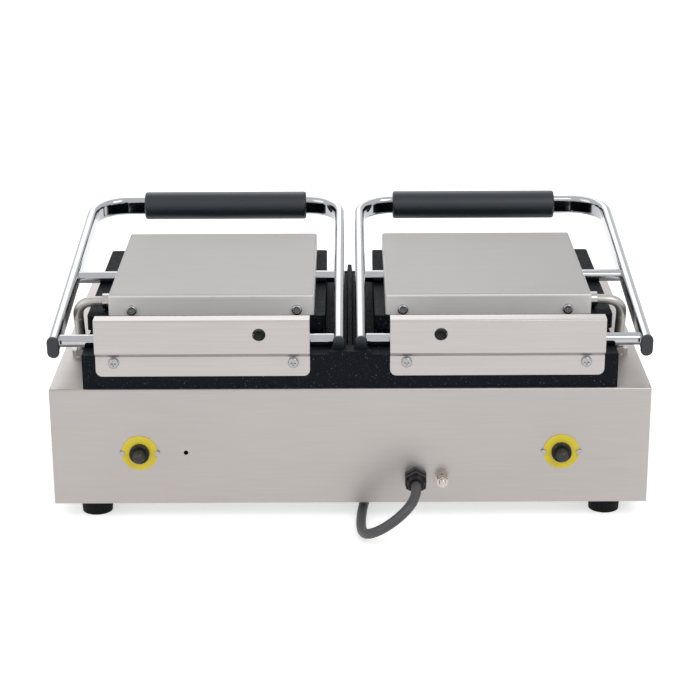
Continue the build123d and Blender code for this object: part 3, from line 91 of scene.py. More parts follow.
@dataclass(frozen=True)
class Finish:
    """A procedural surface: two tones on a noise, with roughness and bump from the same noise, and
    painted shade on the upward faces where asked.
    """

    name: str
    tone: tuple[float, float, float]
    second: tuple[float, float, float]
    metallic: float = 0.0
    roughness: tuple[float, float] = (0.4, 0.55)
    scale: float = 300.0
    grain: Grain = Grain.EVEN
    bump: float = 0.1
    depth: float = 0.0002
    specks: float = 0.0
    speck_tone: tuple[float, float, float] = (0.5, 0.5, 0.5)
    speck_scale: float = 700.0
    coat: float = 0.0
    shine: float = 0.5
    cloudiness: float = 0.0
    # Factor on the colour of upward faces, as painted shade; 1 leaves them alone.
    painted_top_shade: float = 1.0

    def make(self) -> bpy.types.Material:
        """Build the material's nodes.

        Returns:
            The finished material.
        """
        material = bpy.data.materials.new(self.name)
        material.use_nodes = True
        tree = material.node_tree
        shader = tree.nodes["Principled BSDF"]
        shader.inputs["Metallic"].default_value = self.metallic
        shader.inputs["Coat Weight"].default_value = self.coat
        shader.inputs["Specular IOR Level"].default_value = self.shine
        place = tree.nodes.new("ShaderNodeTexCoord")
        stretch = tree.nodes.new("ShaderNodeMapping")
        stretch.inputs["Scale"].default_value = self.grain.value
        tree.links.new(place.outputs["Object"], stretch.inputs["Vector"])
        noise = tree.nodes.new("ShaderNodeTexNoise")
        noise.inputs["Scale"].default_value = self.scale
        noise.inputs["Detail"].default_value = NOISE_DETAIL
        tree.links.new(stretch.outputs["Vector"], noise.inputs["Vector"])
        mix = self._mix(tree, self.tone, self.second)
        tree.links.new(noise.outputs["Fac"], mix.inputs["Factor"])
        colour = mix.outputs[MIX_RESULT]
        if self.cloudiness:
            colour = self._clouds(tree, place, colour)
        if self.specks:
            colour = self._speckle(tree, place, colour)
        # Painted shade on the upward faces.
        if self.painted_top_shade != 1.0:
            colour = self._paint_top_shade(tree, place, colour)
        tree.links.new(colour, shader.inputs["Base Color"])
        spread = tree.nodes.new("ShaderNodeMapRange")
        spread.inputs["To Min"].default_value = self.roughness[0]
        spread.inputs["To Max"].default_value = self.roughness[1]
        tree.links.new(noise.outputs["Fac"], spread.inputs["Value"])
        tree.links.new(spread.outputs["Result"], shader.inputs["Roughness"])
        bump = tree.nodes.new("ShaderNodeBump")
        bump.inputs["Strength"].default_value = self.bump
        bump.inputs["Distance"].default_value = self.depth
        tree.links.new(noise.outputs["Fac"], bump.inputs["Height"])
        tree.links.new(bump.outputs["Normal"], shader.inputs["Normal"])
        return material

    @staticmethod
    def _mix(
        tree: bpy.types.NodeTree, first: tuple[float, ...], second: tuple[float, ...]
    ) -> bpy.types.Node:
        """Make a colour mix node between two tones.

        Args:
            tree: the material's nodes.
            first: the tone at factor 0.
            second: the tone at factor 1.

        Returns:
            The mix node.
        """
        mix = tree.nodes.new("ShaderNodeMix")
        mix.data_type = "RGBA"
        mix.inputs[MIX_FIRST].default_value = (*first, 1.0)
        mix.inputs[MIX_SECOND].default_value = (*second, 1.0)
        return mix

    def _clouds(
        self, tree: bpy.types.NodeTree, place: bpy.types.Node, colour: bpy.types.NodeSocket
    ) -> bpy.types.NodeSocket:
        """Darken the colour in broad soft patches.

        Args:
            tree: the material's nodes.
            place: the texture coordinate node.
            colour: the colour so far.

        Returns:
            The clouded colour.
        """
        broad = tree.nodes.new("ShaderNodeTexNoise")
        broad.inputs["Scale"].default_value = CLOUD_SCALE
        tree.links.new(place.outputs["Object"], broad.inputs["Vector"])
        level = tree.nodes.new("ShaderNodeMapRange")
        level.inputs["To Min"].default_value = 1.0 - self.cloudiness
        level.inputs["To Max"].default_value = 1.0
        tree.links.new(broad.outputs["Fac"], level.inputs["Value"])
        return self._dim(tree, colour, level.outputs["Result"])

    def _paint_top_shade(
        self, tree: bpy.types.NodeTree, place: bpy.types.Node, colour: bpy.types.NodeSocket
    ) -> bpy.types.NodeSocket:
        """Darken the faces that look up, as painted shade for how light falls on them.

        Args:
            tree: the material's nodes.
            place: the texture coordinate node.
            colour: the colour so far.

        Returns:
            The colour with painted shade on its upward faces.
        """
        split = tree.nodes.new("ShaderNodeSeparateXYZ")
        tree.links.new(place.outputs["Normal"], split.inputs["Vector"])
        level = tree.nodes.new("ShaderNodeMapRange")
        level.inputs["From Min"].default_value = PAINTED_TOP_SHADE_START
        level.inputs["From Max"].default_value = PAINTED_TOP_SHADE_FULL
        level.inputs["To Min"].default_value = 1.0
        level.inputs["To Max"].default_value = self.painted_top_shade
        tree.links.new(split.outputs["Z"], level.inputs["Value"])
        return self._dim(tree, colour, level.outputs["Result"])

    @staticmethod
    def _dim(
        tree: bpy.types.NodeTree, colour: bpy.types.NodeSocket, level: bpy.types.NodeSocket
    ) -> bpy.types.NodeSocket:
        """Multiply a colour by a level.

        Args:
            tree: the material's nodes.
            colour: the colour so far.
            level: what it is multiplied by.

        Returns:
            The changed colour.
        """
        dim = tree.nodes.new("ShaderNodeVectorMath")
        dim.operation = "SCALE"
        tree.links.new(colour, dim.inputs[0])
        tree.links.new(level, dim.inputs["Scale"])
        return dim.outputs["Vector"]

    def _speckle(
        self, tree: bpy.types.NodeTree, place: bpy.types.Node, colour: bpy.types.NodeSocket
    ) -> bpy.types.NodeSocket:
        """Scatter small bright specks over the colour.

        Args:
            tree: the material's nodes.
            place: the texture coordinate node.
            colour: the colour so far.

        Returns:
            The speckled colour.
        """
        dots = tree.nodes.new("ShaderNodeTexNoise")
        dots.inputs["Scale"].default_value = self.speck_scale
        tree.links.new(place.outputs["Object"], dots.inputs["Vector"])
        cut = tree.nodes.new("ShaderNodeMapRange")
        cut.inputs["From Min"].default_value = SPECK_LEVEL - self.specks
        cut.inputs["From Max"].default_value = SPECK_LEVEL + SPECK_EDGE - self.specks
        tree.links.new(dots.outputs["Fac"], cut.inputs["Value"])
        mix = self._mix(tree, self.tone, self.speck_tone)
        tree.links.new(colour, mix.inputs[MIX_FIRST])
        tree.links.new(cut.outputs["Result"], mix.inputs["Factor"])
        return mix.outputs[MIX_RESULT]


PANEL = Finish(
    "panel_steel", (0.475, 0.443, 0.43), (0.425, 0.395, 0.382), 1.0, (0.30, 0.46), 900.0,
    Grain.ACROSS, 0.10, 0.0001, cloudiness=0.10,
)
# Cover steel: its pale, mostly diffuse tone is partly the steel's own colour and partly a painted
# reflection of bright light on the vertical faces; its upward faces get painted shade (0.46).
COVER = Finish(
    "cover_steel", (0.90, 0.885, 0.87), (0.83, 0.81, 0.80), 0.15, (0.34, 0.48), 800.0, Grain.ACROSS,
    0.06, 0.0001, cloudiness=0.06, painted_top_shade=0.46,
)
HINGE_COVER = Finish(
    "hinge_cover_steel", (0.54, 0.51, 0.50), (0.45, 0.425, 0.415), 0.9, (0.28, 0.42), 800.0,
    Grain.ACROSS, 0.06, 0.0001, cloudiness=0.06,
)
SHEET_METAL = Finish(
    "plain_steel", (0.42, 0.42, 0.41), (0.34, 0.34, 0.33), 1.0, (0.35, 0.55), 500.0, bump=0.1
)
CASTING = Finish(
    "black_casting", (0.007, 0.009, 0.014), (0.002, 0.003, 0.006), 0.0, (0.45, 0.80), 420.0,
    bump=0.80, depth=0.0012, specks=0.006, speck_tone=(0.16, 0.18, 0.22), speck_scale=800.0,
    shine=0.10,
)
ANCHOR = Finish(
    "anchor_black", (0.020, 0.020, 0.022), (0.010, 0.010, 0.012), 0.3, (0.35, 0.55), 500.0,
    bump=0.15,
)
CONDUIT = Finish(
    "conduit_steel", (0.56, 0.54, 0.51), (0.44, 0.42, 0.40), 0.60, (0.25, 0.40), 300.0, bump=0.05
)
CHROME = Finish(
    "chrome", (0.46, 0.47, 0.49), (0.40, 0.41, 0.43), 1.0, (0.05, 0.12), 120.0, bump=0.02
)
SCREW = Finish(
    "bright_screws", (0.42, 0.42, 0.43), (0.30, 0.30, 0.31), 1.0, (0.15, 0.30), 500.0, bump=0.05
)
NICKEL = Finish(
    "nickel", (0.50, 0.49, 0.475), (0.40, 0.39, 0.38), 1.0, (0.12, 0.25), 300.0, bump=0.05
)
BRASS = Finish(
    "bond_brass", (0.60, 0.555, 0.51), (0.46, 0.41, 0.37), 1.0, (0.15, 0.28), 400.0, bump=0.05
)
HEATER = Finish(
    "heater_tube", (0.16, 0.16, 0.17), (0.09, 0.09, 0.10), 0.8, (0.40, 0.60), 500.0, bump=0.15
)
GRIP = Finish(
    "black_grip", (0.018, 0.024, 0.032), (0.012, 0.016, 0.023), 0.0, (0.34, 0.46), 1400.0,
    bump=0.20, depth=0.0001,
)
PLASTIC = Finish(
    "black_plastic", (0.009, 0.009, 0.011), (0.005, 0.005, 0.006), 0.0, (0.28, 0.40), 900.0,
    bump=0.12, depth=0.0001, shine=0.25,
)
CERAMIC = Finish(
    "white_ceramic", (0.75, 0.73, 0.68), (0.66, 0.64, 0.60), 0.0, (0.20, 0.35), 200.0, bump=0.05
)
ROCKER = Finish(
    "rocker_green", (0.03, 0.30, 0.09), (0.02, 0.24, 0.07), 0.0, (0.12, 0.20), 200.0, bump=0.02,
    coat=0.4, shine=0.3,
)
LENS = Finish(
    "lamp_lens", (0.90, 0.26, 0.02), (0.78, 0.18, 0.01), 0.0, (0.08, 0.15), 250.0, bump=0.03,
    coat=0.6,
)
BOOT = Finish(
    "boot_rubber", (0.014, 0.014, 0.015), (0.009, 0.009, 0.010), 0.0, (0.35, 0.50), 700.0, bump=0.2
)
LABEL = Finish(
    "label_yellow", (0.84, 0.68, 0.045), (0.78, 0.62, 0.035), 0.0, (0.30, 0.42), 400.0, bump=0.03
)
INK = Finish(
    "label_ink", (0.02, 0.02, 0.022), (0.015, 0.015, 0.016), 0.0, (0.45, 0.55), 400.0, bump=0.02
)
CORD = Finish(
    "cord_rubber", (0.085, 0.085, 0.092), (0.060, 0.060, 0.066), 0.0, (0.40, 0.55), 600.0,
    bump=0.15, depth=0.0001,
)
FOOT = Finish(
    "foot_rubber", (0.006, 0.007, 0.007), (0.003, 0.003, 0.003), 0.0, (0.55, 0.75), 500.0, bump=0.2,
    shine=0.15,
)

DRESSING: dict[Finish, tuple[str, ...]] = {
    PANEL: ("base_shell", "rear_panel"),
    COVER: ("top_cover_left", "top_cover_right"),
    HINGE_COVER: ("rear_covers", "drip_tray"),
    ANCHOR: ("spring_anchors",),
    SHEET_METAL: (
        "bottom_plate", "element_clamps", "hinge_bearings", "tray_rails",
        "pivot_brackets_left", "pivot_brackets_right",
    ),
    CASTING: ("lower_plate", "upper_plate_left", "upper_plate_right"),
    CHROME: (
        "handle_tube_left", "handle_tube_right", "hinge_shaft_left", "hinge_shaft_right",
        "pivot_rod_left", "pivot_rod_right",
    ),
    SCREW: (
        "foot_screws", "rear_cover_screws", "top_cover_screws_left", "top_cover_screws_right",
        "reset_label_screws",
    ),
    NICKEL: ("conduit_nuts", "hose_fitting_left", "hose_fitting_right"),
    BRASS: ("bonding_terminal", "plug_pins"),
    HEATER: ("lower_elements", "upper_element_left", "upper_element_right"),
    GRIP: (
        "handle_grip_left", "handle_grip_right", "handle_end_caps_left", "handle_end_caps_right",
    ),
    PLASTIC: (
        "knob_left", "knob_right", "switch_housings", "reset_cutouts", "reset_collars",
        "cable_gland", "plug",
    ),
    CERAMIC: ("thermostats", "terminal_block"),
    ROCKER: ("rocker_left", "rocker_right"),
    LENS: ("indicator_lamps",),
    BOOT: ("reset_button_left", "reset_button_right"),
    LABEL: ("reset_labels",),
    FOOT: ("rubber_feet",),
}


def deselect() -> None:
    """Clear the selection and leave no object active in edit mode."""
    if bpy.context.object and bpy.context.object.mode != "OBJECT":
        bpy.ops.object.mode_set(mode="OBJECT")
    bpy.ops.object.select_all(action="DESELECT")


def settle(piece: bpy.types.Object) -> None:
    """Put a piece's place, turn and size into its mesh.

    Args:
        piece: the object to settle at the origin.
    """
    piece.data.transform(piece.matrix_basis)
    piece.matrix_basis = Matrix.Identity(4)


def smooth(piece: bpy.types.Object, angle: float = SMOOTH_ANGLE) -> None:
    """Shade a piece smoothly, with its sharper edges kept.

    Args:
        piece: the object to shade.
        angle: the angle in degrees above which an edge stays sharp.
    """
    deselect()
    piece.select_set(True)
    bpy.context.view_layer.objects.active = piece
    bpy.ops.object.shade_smooth_by_angle(angle=math.radians(angle))
    deselect()


def finish_piece(
    piece: bpy.types.Object,
    name: str,
    finish: bpy.types.Material,
    body: str | None = None,
) -> None:
    """Name, dress and attach a new piece.

    Args:
        piece: the new object.
        name: what the piece is called.
        finish: its material.
        body: the body it rides on, or None to leave it unattached.
    """
    piece.name = name
    piece.data.name = name
    piece.data.materials.clear()
    piece.data.materials.append(finish)
    if body:
        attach(piece, body)
    LOG.info("made %s", name)


def ring_mesh(name: str, rings: list[list[Vector]]) -> bpy.types.Object:
    """Skin a row of rings of equal count, with both ends closed.

    Args:
        name: the object's name.
        rings: each ring's points, in order along the piece.

    Returns:
        The new mesh object.
    """
    count = len(rings[0])
    points = [point for ring in rings for point in ring]
    faces = []
    for row in range(len(rings) - 1):
        for step in range(count):
            after = (step + 1) % count
            low, high = row * count, (row + 1) * count
            faces.append((low + step, low + after, high + after, high + step))
    faces.append(tuple(reversed(range(count))))
    faces.append(tuple(range((len(rings) - 1) * count, len(rings) * count)))
    mesh = bpy.data.meshes.new(name)
    mesh.from_pydata(points, [], faces)
    mesh.validate()
    piece = bpy.data.objects.new(name, mesh)
    bpy.context.collection.objects.link(piece)
    deselect()
    piece.select_set(True)
    bpy.context.view_layer.objects.active = piece
    bpy.ops.object.mode_set(mode="EDIT")
    bpy.ops.mesh.select_all(action="SELECT")
    bpy.ops.mesh.normals_make_consistent(inside=False)
    bpy.ops.object.mode_set(mode="OBJECT")
    deselect()
    return piece


def tube_rings(line: list[Vector], radii: list[float], sides: int) -> list[list[Vector]]:
    """Lay rings square to a line, without twist.

    Args:
        line: points along the tube's centre.
        radii: the tube's radius at each point.
        sides: points in each ring.

    Returns:
        One ring of points for each point of the line.
    """
    rings = []
    across = None
    for index, point in enumerate(line):
        ahead = line[min(index + 1, len(line) - 1)]
        behind = line[max(index - 1, 0)]
        way = (ahead - behind).normalized()
        if across is None:
            across = way.orthogonal().normalized()
        across = (across - way * across.dot(way)).normalized()
        other = way.cross(across)
        rings.append([
            point + (across * math.cos(turn) + other * math.sin(turn)) * radii[index]
            for turn in (2 * math.pi * step / sides for step in range(sides))
        ])
    return rings


def nurbs_curve(name: str, points: list[Vector], resolution: int) -> bpy.types.Object:
    """Make a smooth open curve with the given control points.

    Args:
        name: the object's name.
        points: the control points.
        resolution: how many steps lie between two control points.

    Returns:
        The curve object.
    """
    data = bpy.data.curves.new(name, "CURVE")
    data.dimensions = "3D"
    spline = data.splines.new("NURBS")
    spline.points.add(len(points) - 1)
    for target, point in zip(spline.points, points):
        target.co = (*point, 1.0)
    spline.order_u = CURVE_ORDER
    spline.use_endpoint_u = True
    data.resolution_u = resolution
    curve = bpy.data.objects.new(name, data)
    bpy.context.collection.objects.link(curve)
    return curve


def even_points(curve: bpy.types.Object, count: int) -> list[Vector]:
    """Find points at equal steps along a curve's own smooth line.

    Args:
        curve: a curve without bevel.
        count: how many points.

    Returns:
        The points in order.
    """
    mesh = bpy.data.meshes.new_from_object(curve)
    line = [vertex.co.copy() for vertex in mesh.vertices]
    bpy.data.meshes.remove(mesh)
    lengths = [0.0]
    for before, after in zip(line, line[1:]):
        lengths.append(lengths[-1] + (after - before).length)
    points = []
    index = 0
    for step in range(count):
        target = lengths[-1] * step / (count - 1)
        while index < len(line) - 2 and lengths[index + 1] < target:
            index += 1
        span = lengths[index + 1] - lengths[index]
        points.append(line[index].lerp(line[index + 1], (target - lengths[index]) / span))
    return points


def joined(pieces: list[bpy.types.Object]) -> bpy.types.Object:
    """Join pieces into one object.

    Args:
        pieces: the mesh objects to join.

    Returns:
        The first of them, which now holds all.
    """
    deselect()
    for piece in pieces:
        piece.select_set(True)
    bpy.context.view_layer.objects.active = pieces[0]
    bpy.ops.object.join()
    whole = bpy.context.object
    deselect()
    return whole


def printed(
    text: str, height: float, depth: float, place: tuple[float, float, float], lean: float = 0.0
) -> bpy.types.Object:
    """Print text that faces the front.

    Args:
        text: the characters.
        height: the size of the type.
        depth: how thick the print is.
        place: the text's centre.
        lean: how many degrees its top leans back.

    Returns:
        The text as a settled mesh.
    """
    deselect()
    bpy.ops.object.text_add(location=(0, 0, 0))
    label = bpy.context.object
    label.data.body = text
    label.data.size = height
    label.data.align_x = "CENTER"
    label.data.align_y = "CENTER"
    label.data.extrude = depth / 2
    label.data.resolution_u = PRINT_RESOLUTION
    bpy.ops.object.convert(target="MESH")
    label = bpy.context.object
    turn = Matrix.Rotation(math.radians(90.0 - lean), 4, "X")
    label.matrix_basis = Matrix.Translation(place) @ turn
    settle(label)
    return label


class Point(NamedTuple):
    """A place in the frame."""

    x: float
    y: float
    z: float


@dataclass(frozen=True)
class Box:
    """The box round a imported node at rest, rounded to a micrometre."""

    low: Point
    high: Point

    @classmethod
    def of(cls, node: str) -> Box:
        """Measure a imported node.

        Args:
            node: the node's name.

        Returns:
            Its box.
        """
        piece = bpy.data.objects[node]
        points = [piece.matrix_world @ vertex.co for vertex in piece.data.vertices]
        low, high = (
            Point(*(round(end(values), MEASURE_DIGITS) for values in zip(*points)))
            for end in (min, max)
        )
        return cls(low, high)

    @property
    def middle(self) -> Point:
        """Centre of the box."""
        return Point(*((low + high) / 2 for low, high in zip(self.low, self.high)))


@dataclass(frozen=True)
class Base:
    """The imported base's outer faces, from which new pieces are placed."""

    rear: float
    front: float
    top: float

    @classmethod
    def measured(cls) -> Base:
        """Read the faces from the rear panel and the base's shell."""
        panel = Box.of("rear_panel")
        return cls(rear=panel.high.y, front=Box.of("base_shell").low.y, top=panel.high.z)


@dataclass
class Studio:
    """Camera, lamps, world and floor."""

    base: Base
    distance: float = 1.723
    height: float = 0.6454
    pitch: float = 19.4
    roll: float = -0.24
    lens: float = 100.85
    sensor: float = 36.0
    backdrop: float = 1.0
    ambient: float = 0.50
    floor_glow: float = 0.55
    floor_size: float = 14.0
    floor_tone: float = 0.93
    floor_roughness: float = 0.9
    lamp_aim: tuple[float, float, float] = (0.0, 0.0, 0.1)
    lamps: tuple[tuple[str, tuple[float, float, float], float, float], ...] = (
        ("key", (-1.3, 2.0, 2.2), 1.6, 24.0),
        ("fill", (1.8, 1.4, 1.4), 1.8, 11.0),
        ("front", (0.3, -2.2, 1.8), 1.8, 13.0),
    )

    def camera(self) -> None:
        """Place the camera behind the grill, looking down at its rear."""
        data = bpy.data.cameras.new("camera")
        data.lens = self.lens
        data.sensor_width = self.sensor
        camera = bpy.data.objects.new("camera", data)
        bpy.context.collection.objects.link(camera)
        place = Matrix.Translation(
            (0.0, self.base.rear + self.distance, self.base.top + self.height)
        )
        facing = Matrix.Rotation(math.pi, 4, "Z")
        lift = Matrix.Rotation(math.radians(90 - self.pitch), 4, "X")
        roll = Matrix.Rotation(math.radians(self.roll), 4, "Z")
        camera.matrix_world = place @ facing @ lift @ roll
        bpy.context.scene.camera = camera

    def lights(self) -> None:
        """Add soft area lamps that face the grill."""
        for name, place, size, power in self.lamps:
            data = bpy.data.lights.new(name, "AREA")
            data.energy = power
            data.size = size
            lamp = bpy.data.objects.new(name, data)
            bpy.context.collection.objects.link(lamp)
            aim = (Vector(self.lamp_aim) - Vector(place)).to_track_quat("-Z", "Y")
            lamp.matrix_world = Matrix.Translation(place) @ aim.to_matrix().to_4x4()

    def world(self) -> None:
        """Make the world white for the camera and in reflections, and softer as light."""
        world = bpy.data.worlds.new("studio")
        bpy.context.scene.world = world
        world.use_nodes = True
        tree = world.node_tree
        ground = tree.nodes["Background"]
        ground.inputs["Color"].default_value = (1.0, 1.0, 1.0, 1.0)
        strength = tree.nodes.new("ShaderNodeMix")
        tree.links.new(self._seen(tree), strength.inputs["Factor"])
        strength.inputs["A"].default_value = self.ambient
        strength.inputs["B"].default_value = self.backdrop
        tree.links.new(strength.outputs["Result"], ground.inputs["Strength"])

    @staticmethod
    def _seen(tree: bpy.types.NodeTree) -> bpy.types.NodeSocket:
        """Tell camera rays from those that only light the scene.

        Args:
            tree: the nodes to add to.

        Returns:
            One where a ray comes from the camera, a reflection or clear material.
        """
        rays = tree.nodes.new("ShaderNodeLightPath")
        direct = tree.nodes.new("ShaderNodeMath")
        direct.operation = "MAXIMUM"
        tree.links.new(rays.outputs["Is Camera Ray"], direct.inputs[0])
        tree.links.new(rays.outputs["Is Glossy Ray"], direct.inputs[1])
        every = tree.nodes.new("ShaderNodeMath")
        every.operation = "MAXIMUM"
        tree.links.new(direct.outputs["Value"], every.inputs[0])
        tree.links.new(rays.outputs["Is Transmission Ray"], every.inputs[1])
        return every.outputs["Value"]

    def floor(self) -> None:
        """Add a pale floor that keeps the grill's shadow."""
        deselect()
        bpy.ops.mesh.primitive_plane_add(size=self.floor_size, location=(0, 0, 0))
        floor = bpy.context.object
        floor.name = "floor"
        material = bpy.data.materials.new("floor")
        material.use_nodes = True
        tree = material.node_tree
        shader = tree.nodes["Principled BSDF"]
        shader.inputs["Base Color"].default_value = (*[self.floor_tone] * 3, 1.0)
        shader.inputs["Roughness"].default_value = self.floor_roughness
        glow = tree.nodes.new("ShaderNodeEmission")
        glow.inputs["Strength"].default_value = self.floor_glow
        plain = tree.nodes.new("ShaderNodeAddShader")
        tree.links.new(shader.outputs[0], plain.inputs[0])
        tree.links.new(glow.outputs[0], plain.inputs[1])
        both = tree.nodes.new("ShaderNodeMixShader")
        tree.links.new(self._seen(tree), both.inputs["Fac"])
        tree.links.new(shader.outputs[0], both.inputs[1])
        tree.links.new(plain.outputs[0], both.inputs[2])
        tree.links.new(both.outputs[0], tree.nodes["Material Output"].inputs["Surface"])
        floor.data.materials.append(material)

    def build(self) -> None:
        """Set up the whole studio."""
        bpy.context.scene.view_settings.view_transform = "Standard"
        self.camera()
        self.lights()
        self.world()
        self.floor()


@dataclass
class MainsLead:
    """Mains cord: a U turn under the gland, a run below the base, and a two layer coil.

    The route is given as places in the frame, and the coil goes on from its end.
    """

    radius: float = 4.75 * MM
    layer: float = 10.0 * MM
    pitch: float = 10.0 * MM
    coil_outer: float = 59.0 * MM
    centre: tuple[float, float] = (-0.150, -0.2505)
    lower_turns: float = 2.0
    climb_turns: float = 0.5
    upper_turns: float = 1.75
    steps_per_turn: int = 24
    heading_step: float = 0.0005
    tail: float = 50.0 * MM
    length: float = 1.90
    resolution: int = 5
    roundness: int = 5
    route: tuple[tuple[float, float, float], ...] = (
        (-0.0620, 0.2025, 0.0430),
        (-0.0620, 0.2295, 0.0430),
        (-0.0465, 0.2486, 0.0318),
        (-0.0247, 0.2486, 0.0160),
        (-0.0092, 0.2295, 0.00475),
        (-0.0105, 0.1715, 0.00475),
        (-0.0175, 0.1255, 0.00475),
        (-0.0250, 0.0435, 0.00475),
        (-0.0420, -0.0565, 0.00475),
        (-0.0882, -0.1460, 0.00475),
    )

    def coil_point(self, turn: float) -> Vector:
        """Find the place on the coil after so many turns.

        Args:
            turn: turns from where the coil starts.

        Returns:
            The point on the cord's centre line.
        """
        reversal = self.lower_turns + self.climb_turns / 2
        reach = self.coil_outer - self.pitch * (reversal - abs(turn - reversal))
        share = min(max((turn - self.lower_turns) / self.climb_turns, 0.0), 1.0)
        rise = (1 - math.cos(math.pi * share)) / 2 * self.layer
        angle = -2 * math.pi * turn
        x = self.centre[0] + reach * math.cos(angle)
        y = self.centre[1] + reach * math.sin(angle)
        return Vector((x, y, self.radius + rise))

    def build(self, finish: bpy.types.Material) -> None:
        """Args:
            finish: the sheath's material.
        """
        turns = self.lower_turns + self.climb_turns + self.upper_turns
        count = round(turns * self.steps_per_turn)
        points = [Vector(place) for place in self.route]
        coil = [self.coil_point(index / self.steps_per_turn) for index in range(count + 1)]
        way = (coil[-1] - self.coil_point(turns - self.heading_step)).normalized()
        points += coil
        points += [coil[-1] + way * self.tail / 2, coil[-1] + way * self.tail]
        curve = nurbs_curve("mains_cord", points, self.resolution)
        curve.data.bevel_depth = self.radius
        curve.data.bevel_resolution = self.roundness
        curve.data.use_fill_caps = True
        finish_piece(curve, "mains_cord", finish, "base")
        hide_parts("cord", "cord_coil")


@dataclass
class Conduits:
    """Ribbed steel conduits from the top covers to the base, in two stretches each.

    The route is given in mm: across from the middle, in from the base's rear, and up from its top.
    """

    base: Base
    outer: float = 5.0 * MM
    inner: float = 4.65 * MM
    rib: float = 1.3 * MM
    sides: int = 28
    resolution: int = 8
    guide_steps: int = 200
    smooth_angle: float = 80.0
    route: tuple[tuple[float, float, float], ...] = (
        (239.5, 88.0, 59.0),
        (243.0, 88.0, 59.0),
        (251.0, 88.0, 59.0),
        (259.5, 88.2, 56.5),
        (264.0, 89.2, 50.0),
        (264.5, 91.5, 42.0),
        (264.5, 95.5, 32.0),
        (264.5, 99.5, 22.0),
        (264.5, 101.0, 14.0),
        (264.5, 101.0, 7.0),
    )

    def build(self, finish: bpy.types.Material) -> None:
        """Make both conduits, each in two stretches.

        Args:
            finish: the conduit's material.
        """
        for name, side in SIDES.items():
            points = [
                Vector((side * x * MM, self.base.rear - depth * MM, self.base.top + level * MM))
                for x, depth, level in self.route
            ]
            guide = nurbs_curve("guide", points, self.resolution)
            rough = even_points(guide, self.guide_steps)
            length = sum((b - a).length for a, b in zip(rough, rough[1:]))
            ribs = round(length / self.rib)
            line = even_points(guide, 2 * ribs + 1)
            bpy.data.objects.remove(guide)
            half = ribs // 2 * 2
            stretches = (("upper", line[: half + 1]), ("lower", line[half:]))
            for part, stretch in stretches:
                radii = [self.outer if index % 2 else self.inner for index in range(len(stretch))]
                piece = ring_mesh("conduit", tube_rings(stretch, radii, self.sides))
                finish_piece(piece, f"conduit_{part}_{name}", finish)
                smooth(piece, self.smooth_angle)
                if part == "upper":
                    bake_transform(piece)
                else:
                    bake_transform(piece)
                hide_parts(f"conduit_{name}")


@dataclass
class BalanceSprings:
    """Torsion springs round the hinge shafts.

    The depth is in from the base's rear, and the level is up from its top.
    """

    base: Base
    start: float = 91.0 * MM
    stop: float = 175.0 * MM
    mean: float = 9.0 * MM
    wire: float = 1.45 * MM
    turns: int = 25
    steps: int = 20
    sides: int = 10
    smooth_angle: float = 60.0
    depth: float = 30.0 * MM
    level: float = 38.5 * MM

    def build(self, finish: bpy.types.Material) -> None:
        """Wind a spring on each side.

        Args:
            finish: the wire's material.
        """
        low, high = self.start + self.wire, self.stop - self.wire
        for name, side in SIDES.items():
            line = []
            for index in range(self.turns * self.steps + 1):
                share = index / (self.turns * self.steps)
                angle = 2 * math.pi * self.turns * share
                line.append(Vector((
                    side * (low + (high - low) * share),
                    self.base.rear - self.depth + self.mean * math.cos(angle),
                    self.base.top + self.level + self.mean * math.sin(angle),
                )))
            piece = ring_mesh("spring", tube_rings(line, [self.wire] * len(line), self.sides))
            smooth(piece, self.smooth_angle)
            finish_piece(piece, f"balance_spring_{name}", finish, "base")
            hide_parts("torsion_springs")


@dataclass
class DialMarks:
    """Plain numbers printed round the knobs."""

    base: Base
    reach: float = 35.0 * MM
    height: float = 6.4 * MM
    print_depth: float = 0.12 * MM
    first_angle: float = 90.0
    sweep: float = 270.0
    numbers: tuple[str, ...] = ("0", "50", "100", "150", "200", "250", "300")

    def build(self, finish: bpy.types.Material) -> None:
        """Print both dials.

        Args:
            finish: the ink's material.
        """
        last = len(self.numbers) - 1
        for name in SIDES:
            knob = Box.of(f"knob_{name}").middle
            marks = []
            for index, number in enumerate(self.numbers):
                angle = math.radians(self.first_angle - self.sweep * index / last)
                x = knob.x + self.reach * math.cos(angle)
                z = knob.z + self.reach * math.sin(angle)
                place = (x, self.base.front - self.print_depth / 2, z)
                marks.append(printed(number, self.height, self.print_depth, place))
            dial = joined(marks)
            finish_piece(dial, f"dial_numbers_{name}", finish, "base")


@dataclass
class ControlMarks:
    """White pointers on the knobs, and the on and off marks of the rockers.

    Each rocker mark has its reach before the base's front in mm, its rise above the knobs' centre
    in mm, and its lean in degrees.
    """

    base: Base
    pointer: tuple[float, float, float] = (2.0 * MM, 0.3 * MM, 11.0 * MM)
    pointer_rise: float = 10.5 * MM
    mark_height: float = 5.0 * MM
    mark_depth: float = 0.2 * MM
    rocker_marks: tuple[tuple[str, float, float, float], ...] = (
        ("I", 1.1, 5.6, 0.0),
        ("O", 2.5, -4.3, 15.4),
    )

    def build(self, finish: bpy.types.Material) -> None:
        """Make the marks of both sides.

        Args:
            finish: the marks' white.
        """
        for name in SIDES:
            knob = Box.of(f"knob_{name}")
            rocker = Box.of(f"rocker_{name}").middle
            deselect()
            bpy.ops.mesh.primitive_cube_add(size=1.0)
            bar = bpy.context.object
            place = Matrix.Translation(
                (knob.middle.x, knob.low.y, knob.middle.z + self.pointer_rise)
            )
            bar.matrix_basis = place @ Matrix.Diagonal((*self.pointer, 1.0))
            settle(bar)
            finish_piece(bar, f"knob_pointer_{name}", finish, f"knob_{name}")
            marks = []
            for text, reach, rise, lean in self.rocker_marks:
                place = (rocker.x, self.base.front - reach * MM, knob.middle.z + rise * MM)
                marks.append(printed(text, self.mark_height, self.mark_depth, place, lean))
            pair = joined(marks)
            finish_piece(pair, f"rocker_marks_{name}", finish, f"rocker_{name}")


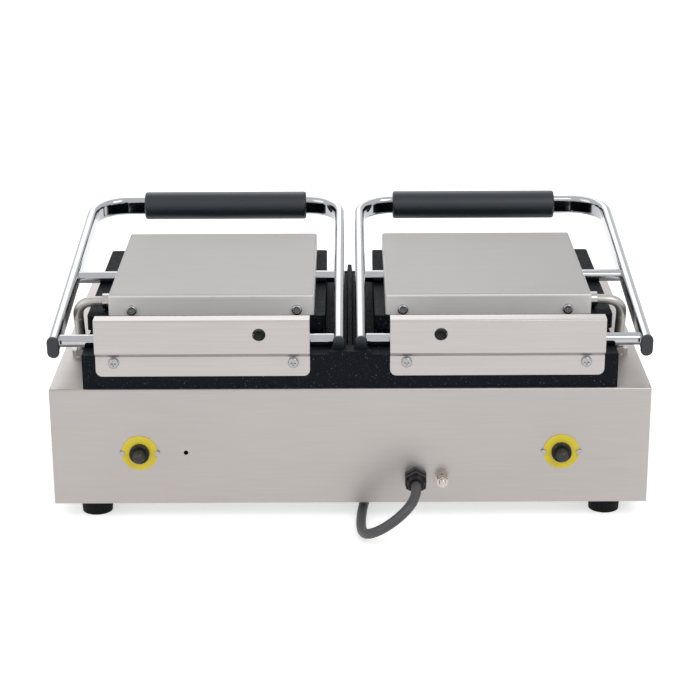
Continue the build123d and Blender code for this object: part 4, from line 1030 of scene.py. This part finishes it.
@dataclass
class StudThread:
    """Threads on the end of the bonding stud."""

    base: Base
    start: float = 14.2 * MM
    pitch: float = 0.8 * MM
    turns: int = 5
    radius: float = 2.75 * MM
    depth: float = 0.35 * MM
    segments: tuple[int, int] = (48, 10)

    def build(self, brass: bpy.types.Material) -> None:
        """Make the threads as a row of rings.

        Args:
            brass: the stud's material.
        """
        piece = joined([self._ring(index) for index in range(self.turns)])
        smooth(piece)
        finish_piece(piece, "stud_thread", brass, "base")

    def _ring(self, index: int) -> bpy.types.Object:
        """Make one ring about the stud's axis.

        Args:
            index: the ring's number, from the panel outwards.

        Returns:
            The settled ring.
        """
        stud = Box.of("bonding_terminal").middle
        reach = self.base.rear + self.start + index * self.pitch
        deselect()
        bpy.ops.mesh.primitive_torus_add(
            major_radius=self.radius, minor_radius=self.depth,
            major_segments=self.segments[0], minor_segments=self.segments[1],
            location=(stud.x, reach, stud.z), rotation=(math.pi / 2, 0, 0),
        )
        ring = bpy.context.object
        bpy.ops.object.transform_apply(location=True, rotation=True, scale=True)
        deselect()
        return ring


@dataclass
class Grill:
    """The whole dressed grill."""

    base: Base
    finishes: dict[Finish, bpy.types.Material] = field(default_factory=dict)

    def paint(self, finish: Finish) -> bpy.types.Material:
        """Give the material of a finish, made once."""
        if finish not in self.finishes:
            self.finishes[finish] = finish.make()
        return self.finishes[finish]

    def dress(self) -> None:
        """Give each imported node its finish."""
        for finish, nodes in DRESSING.items():
            for node in nodes:
                piece = bpy.data.objects[node]
                if not piece.material_slots:
                    piece.data.materials.append(None)
                for slot in piece.material_slots:
                    slot.material = self.paint(finish)
                LOG.info("dressed %s as %s", node, finish.name)

    def build(self) -> None:
        """Build the new pieces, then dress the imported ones."""
        MainsLead().build(self.paint(CORD))
        Conduits(self.base).build(self.paint(CONDUIT))
        BalanceSprings(self.base).build(self.paint(SHEET_METAL))
        DialMarks(self.base).build(self.paint(INK))
        ControlMarks(self.base).build(self.paint(CERAMIC))
        StudThread(self.base).build(self.paint(BRASS))
        self.dress()


def main() -> None:
    """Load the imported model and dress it."""
    logging.basicConfig(level=logging.INFO, format="%(name)s: %(message)s")
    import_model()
    base = Base.measured()
    Studio(base).build()
    Grill(base).build()


if __name__ == "__main__":
    main()
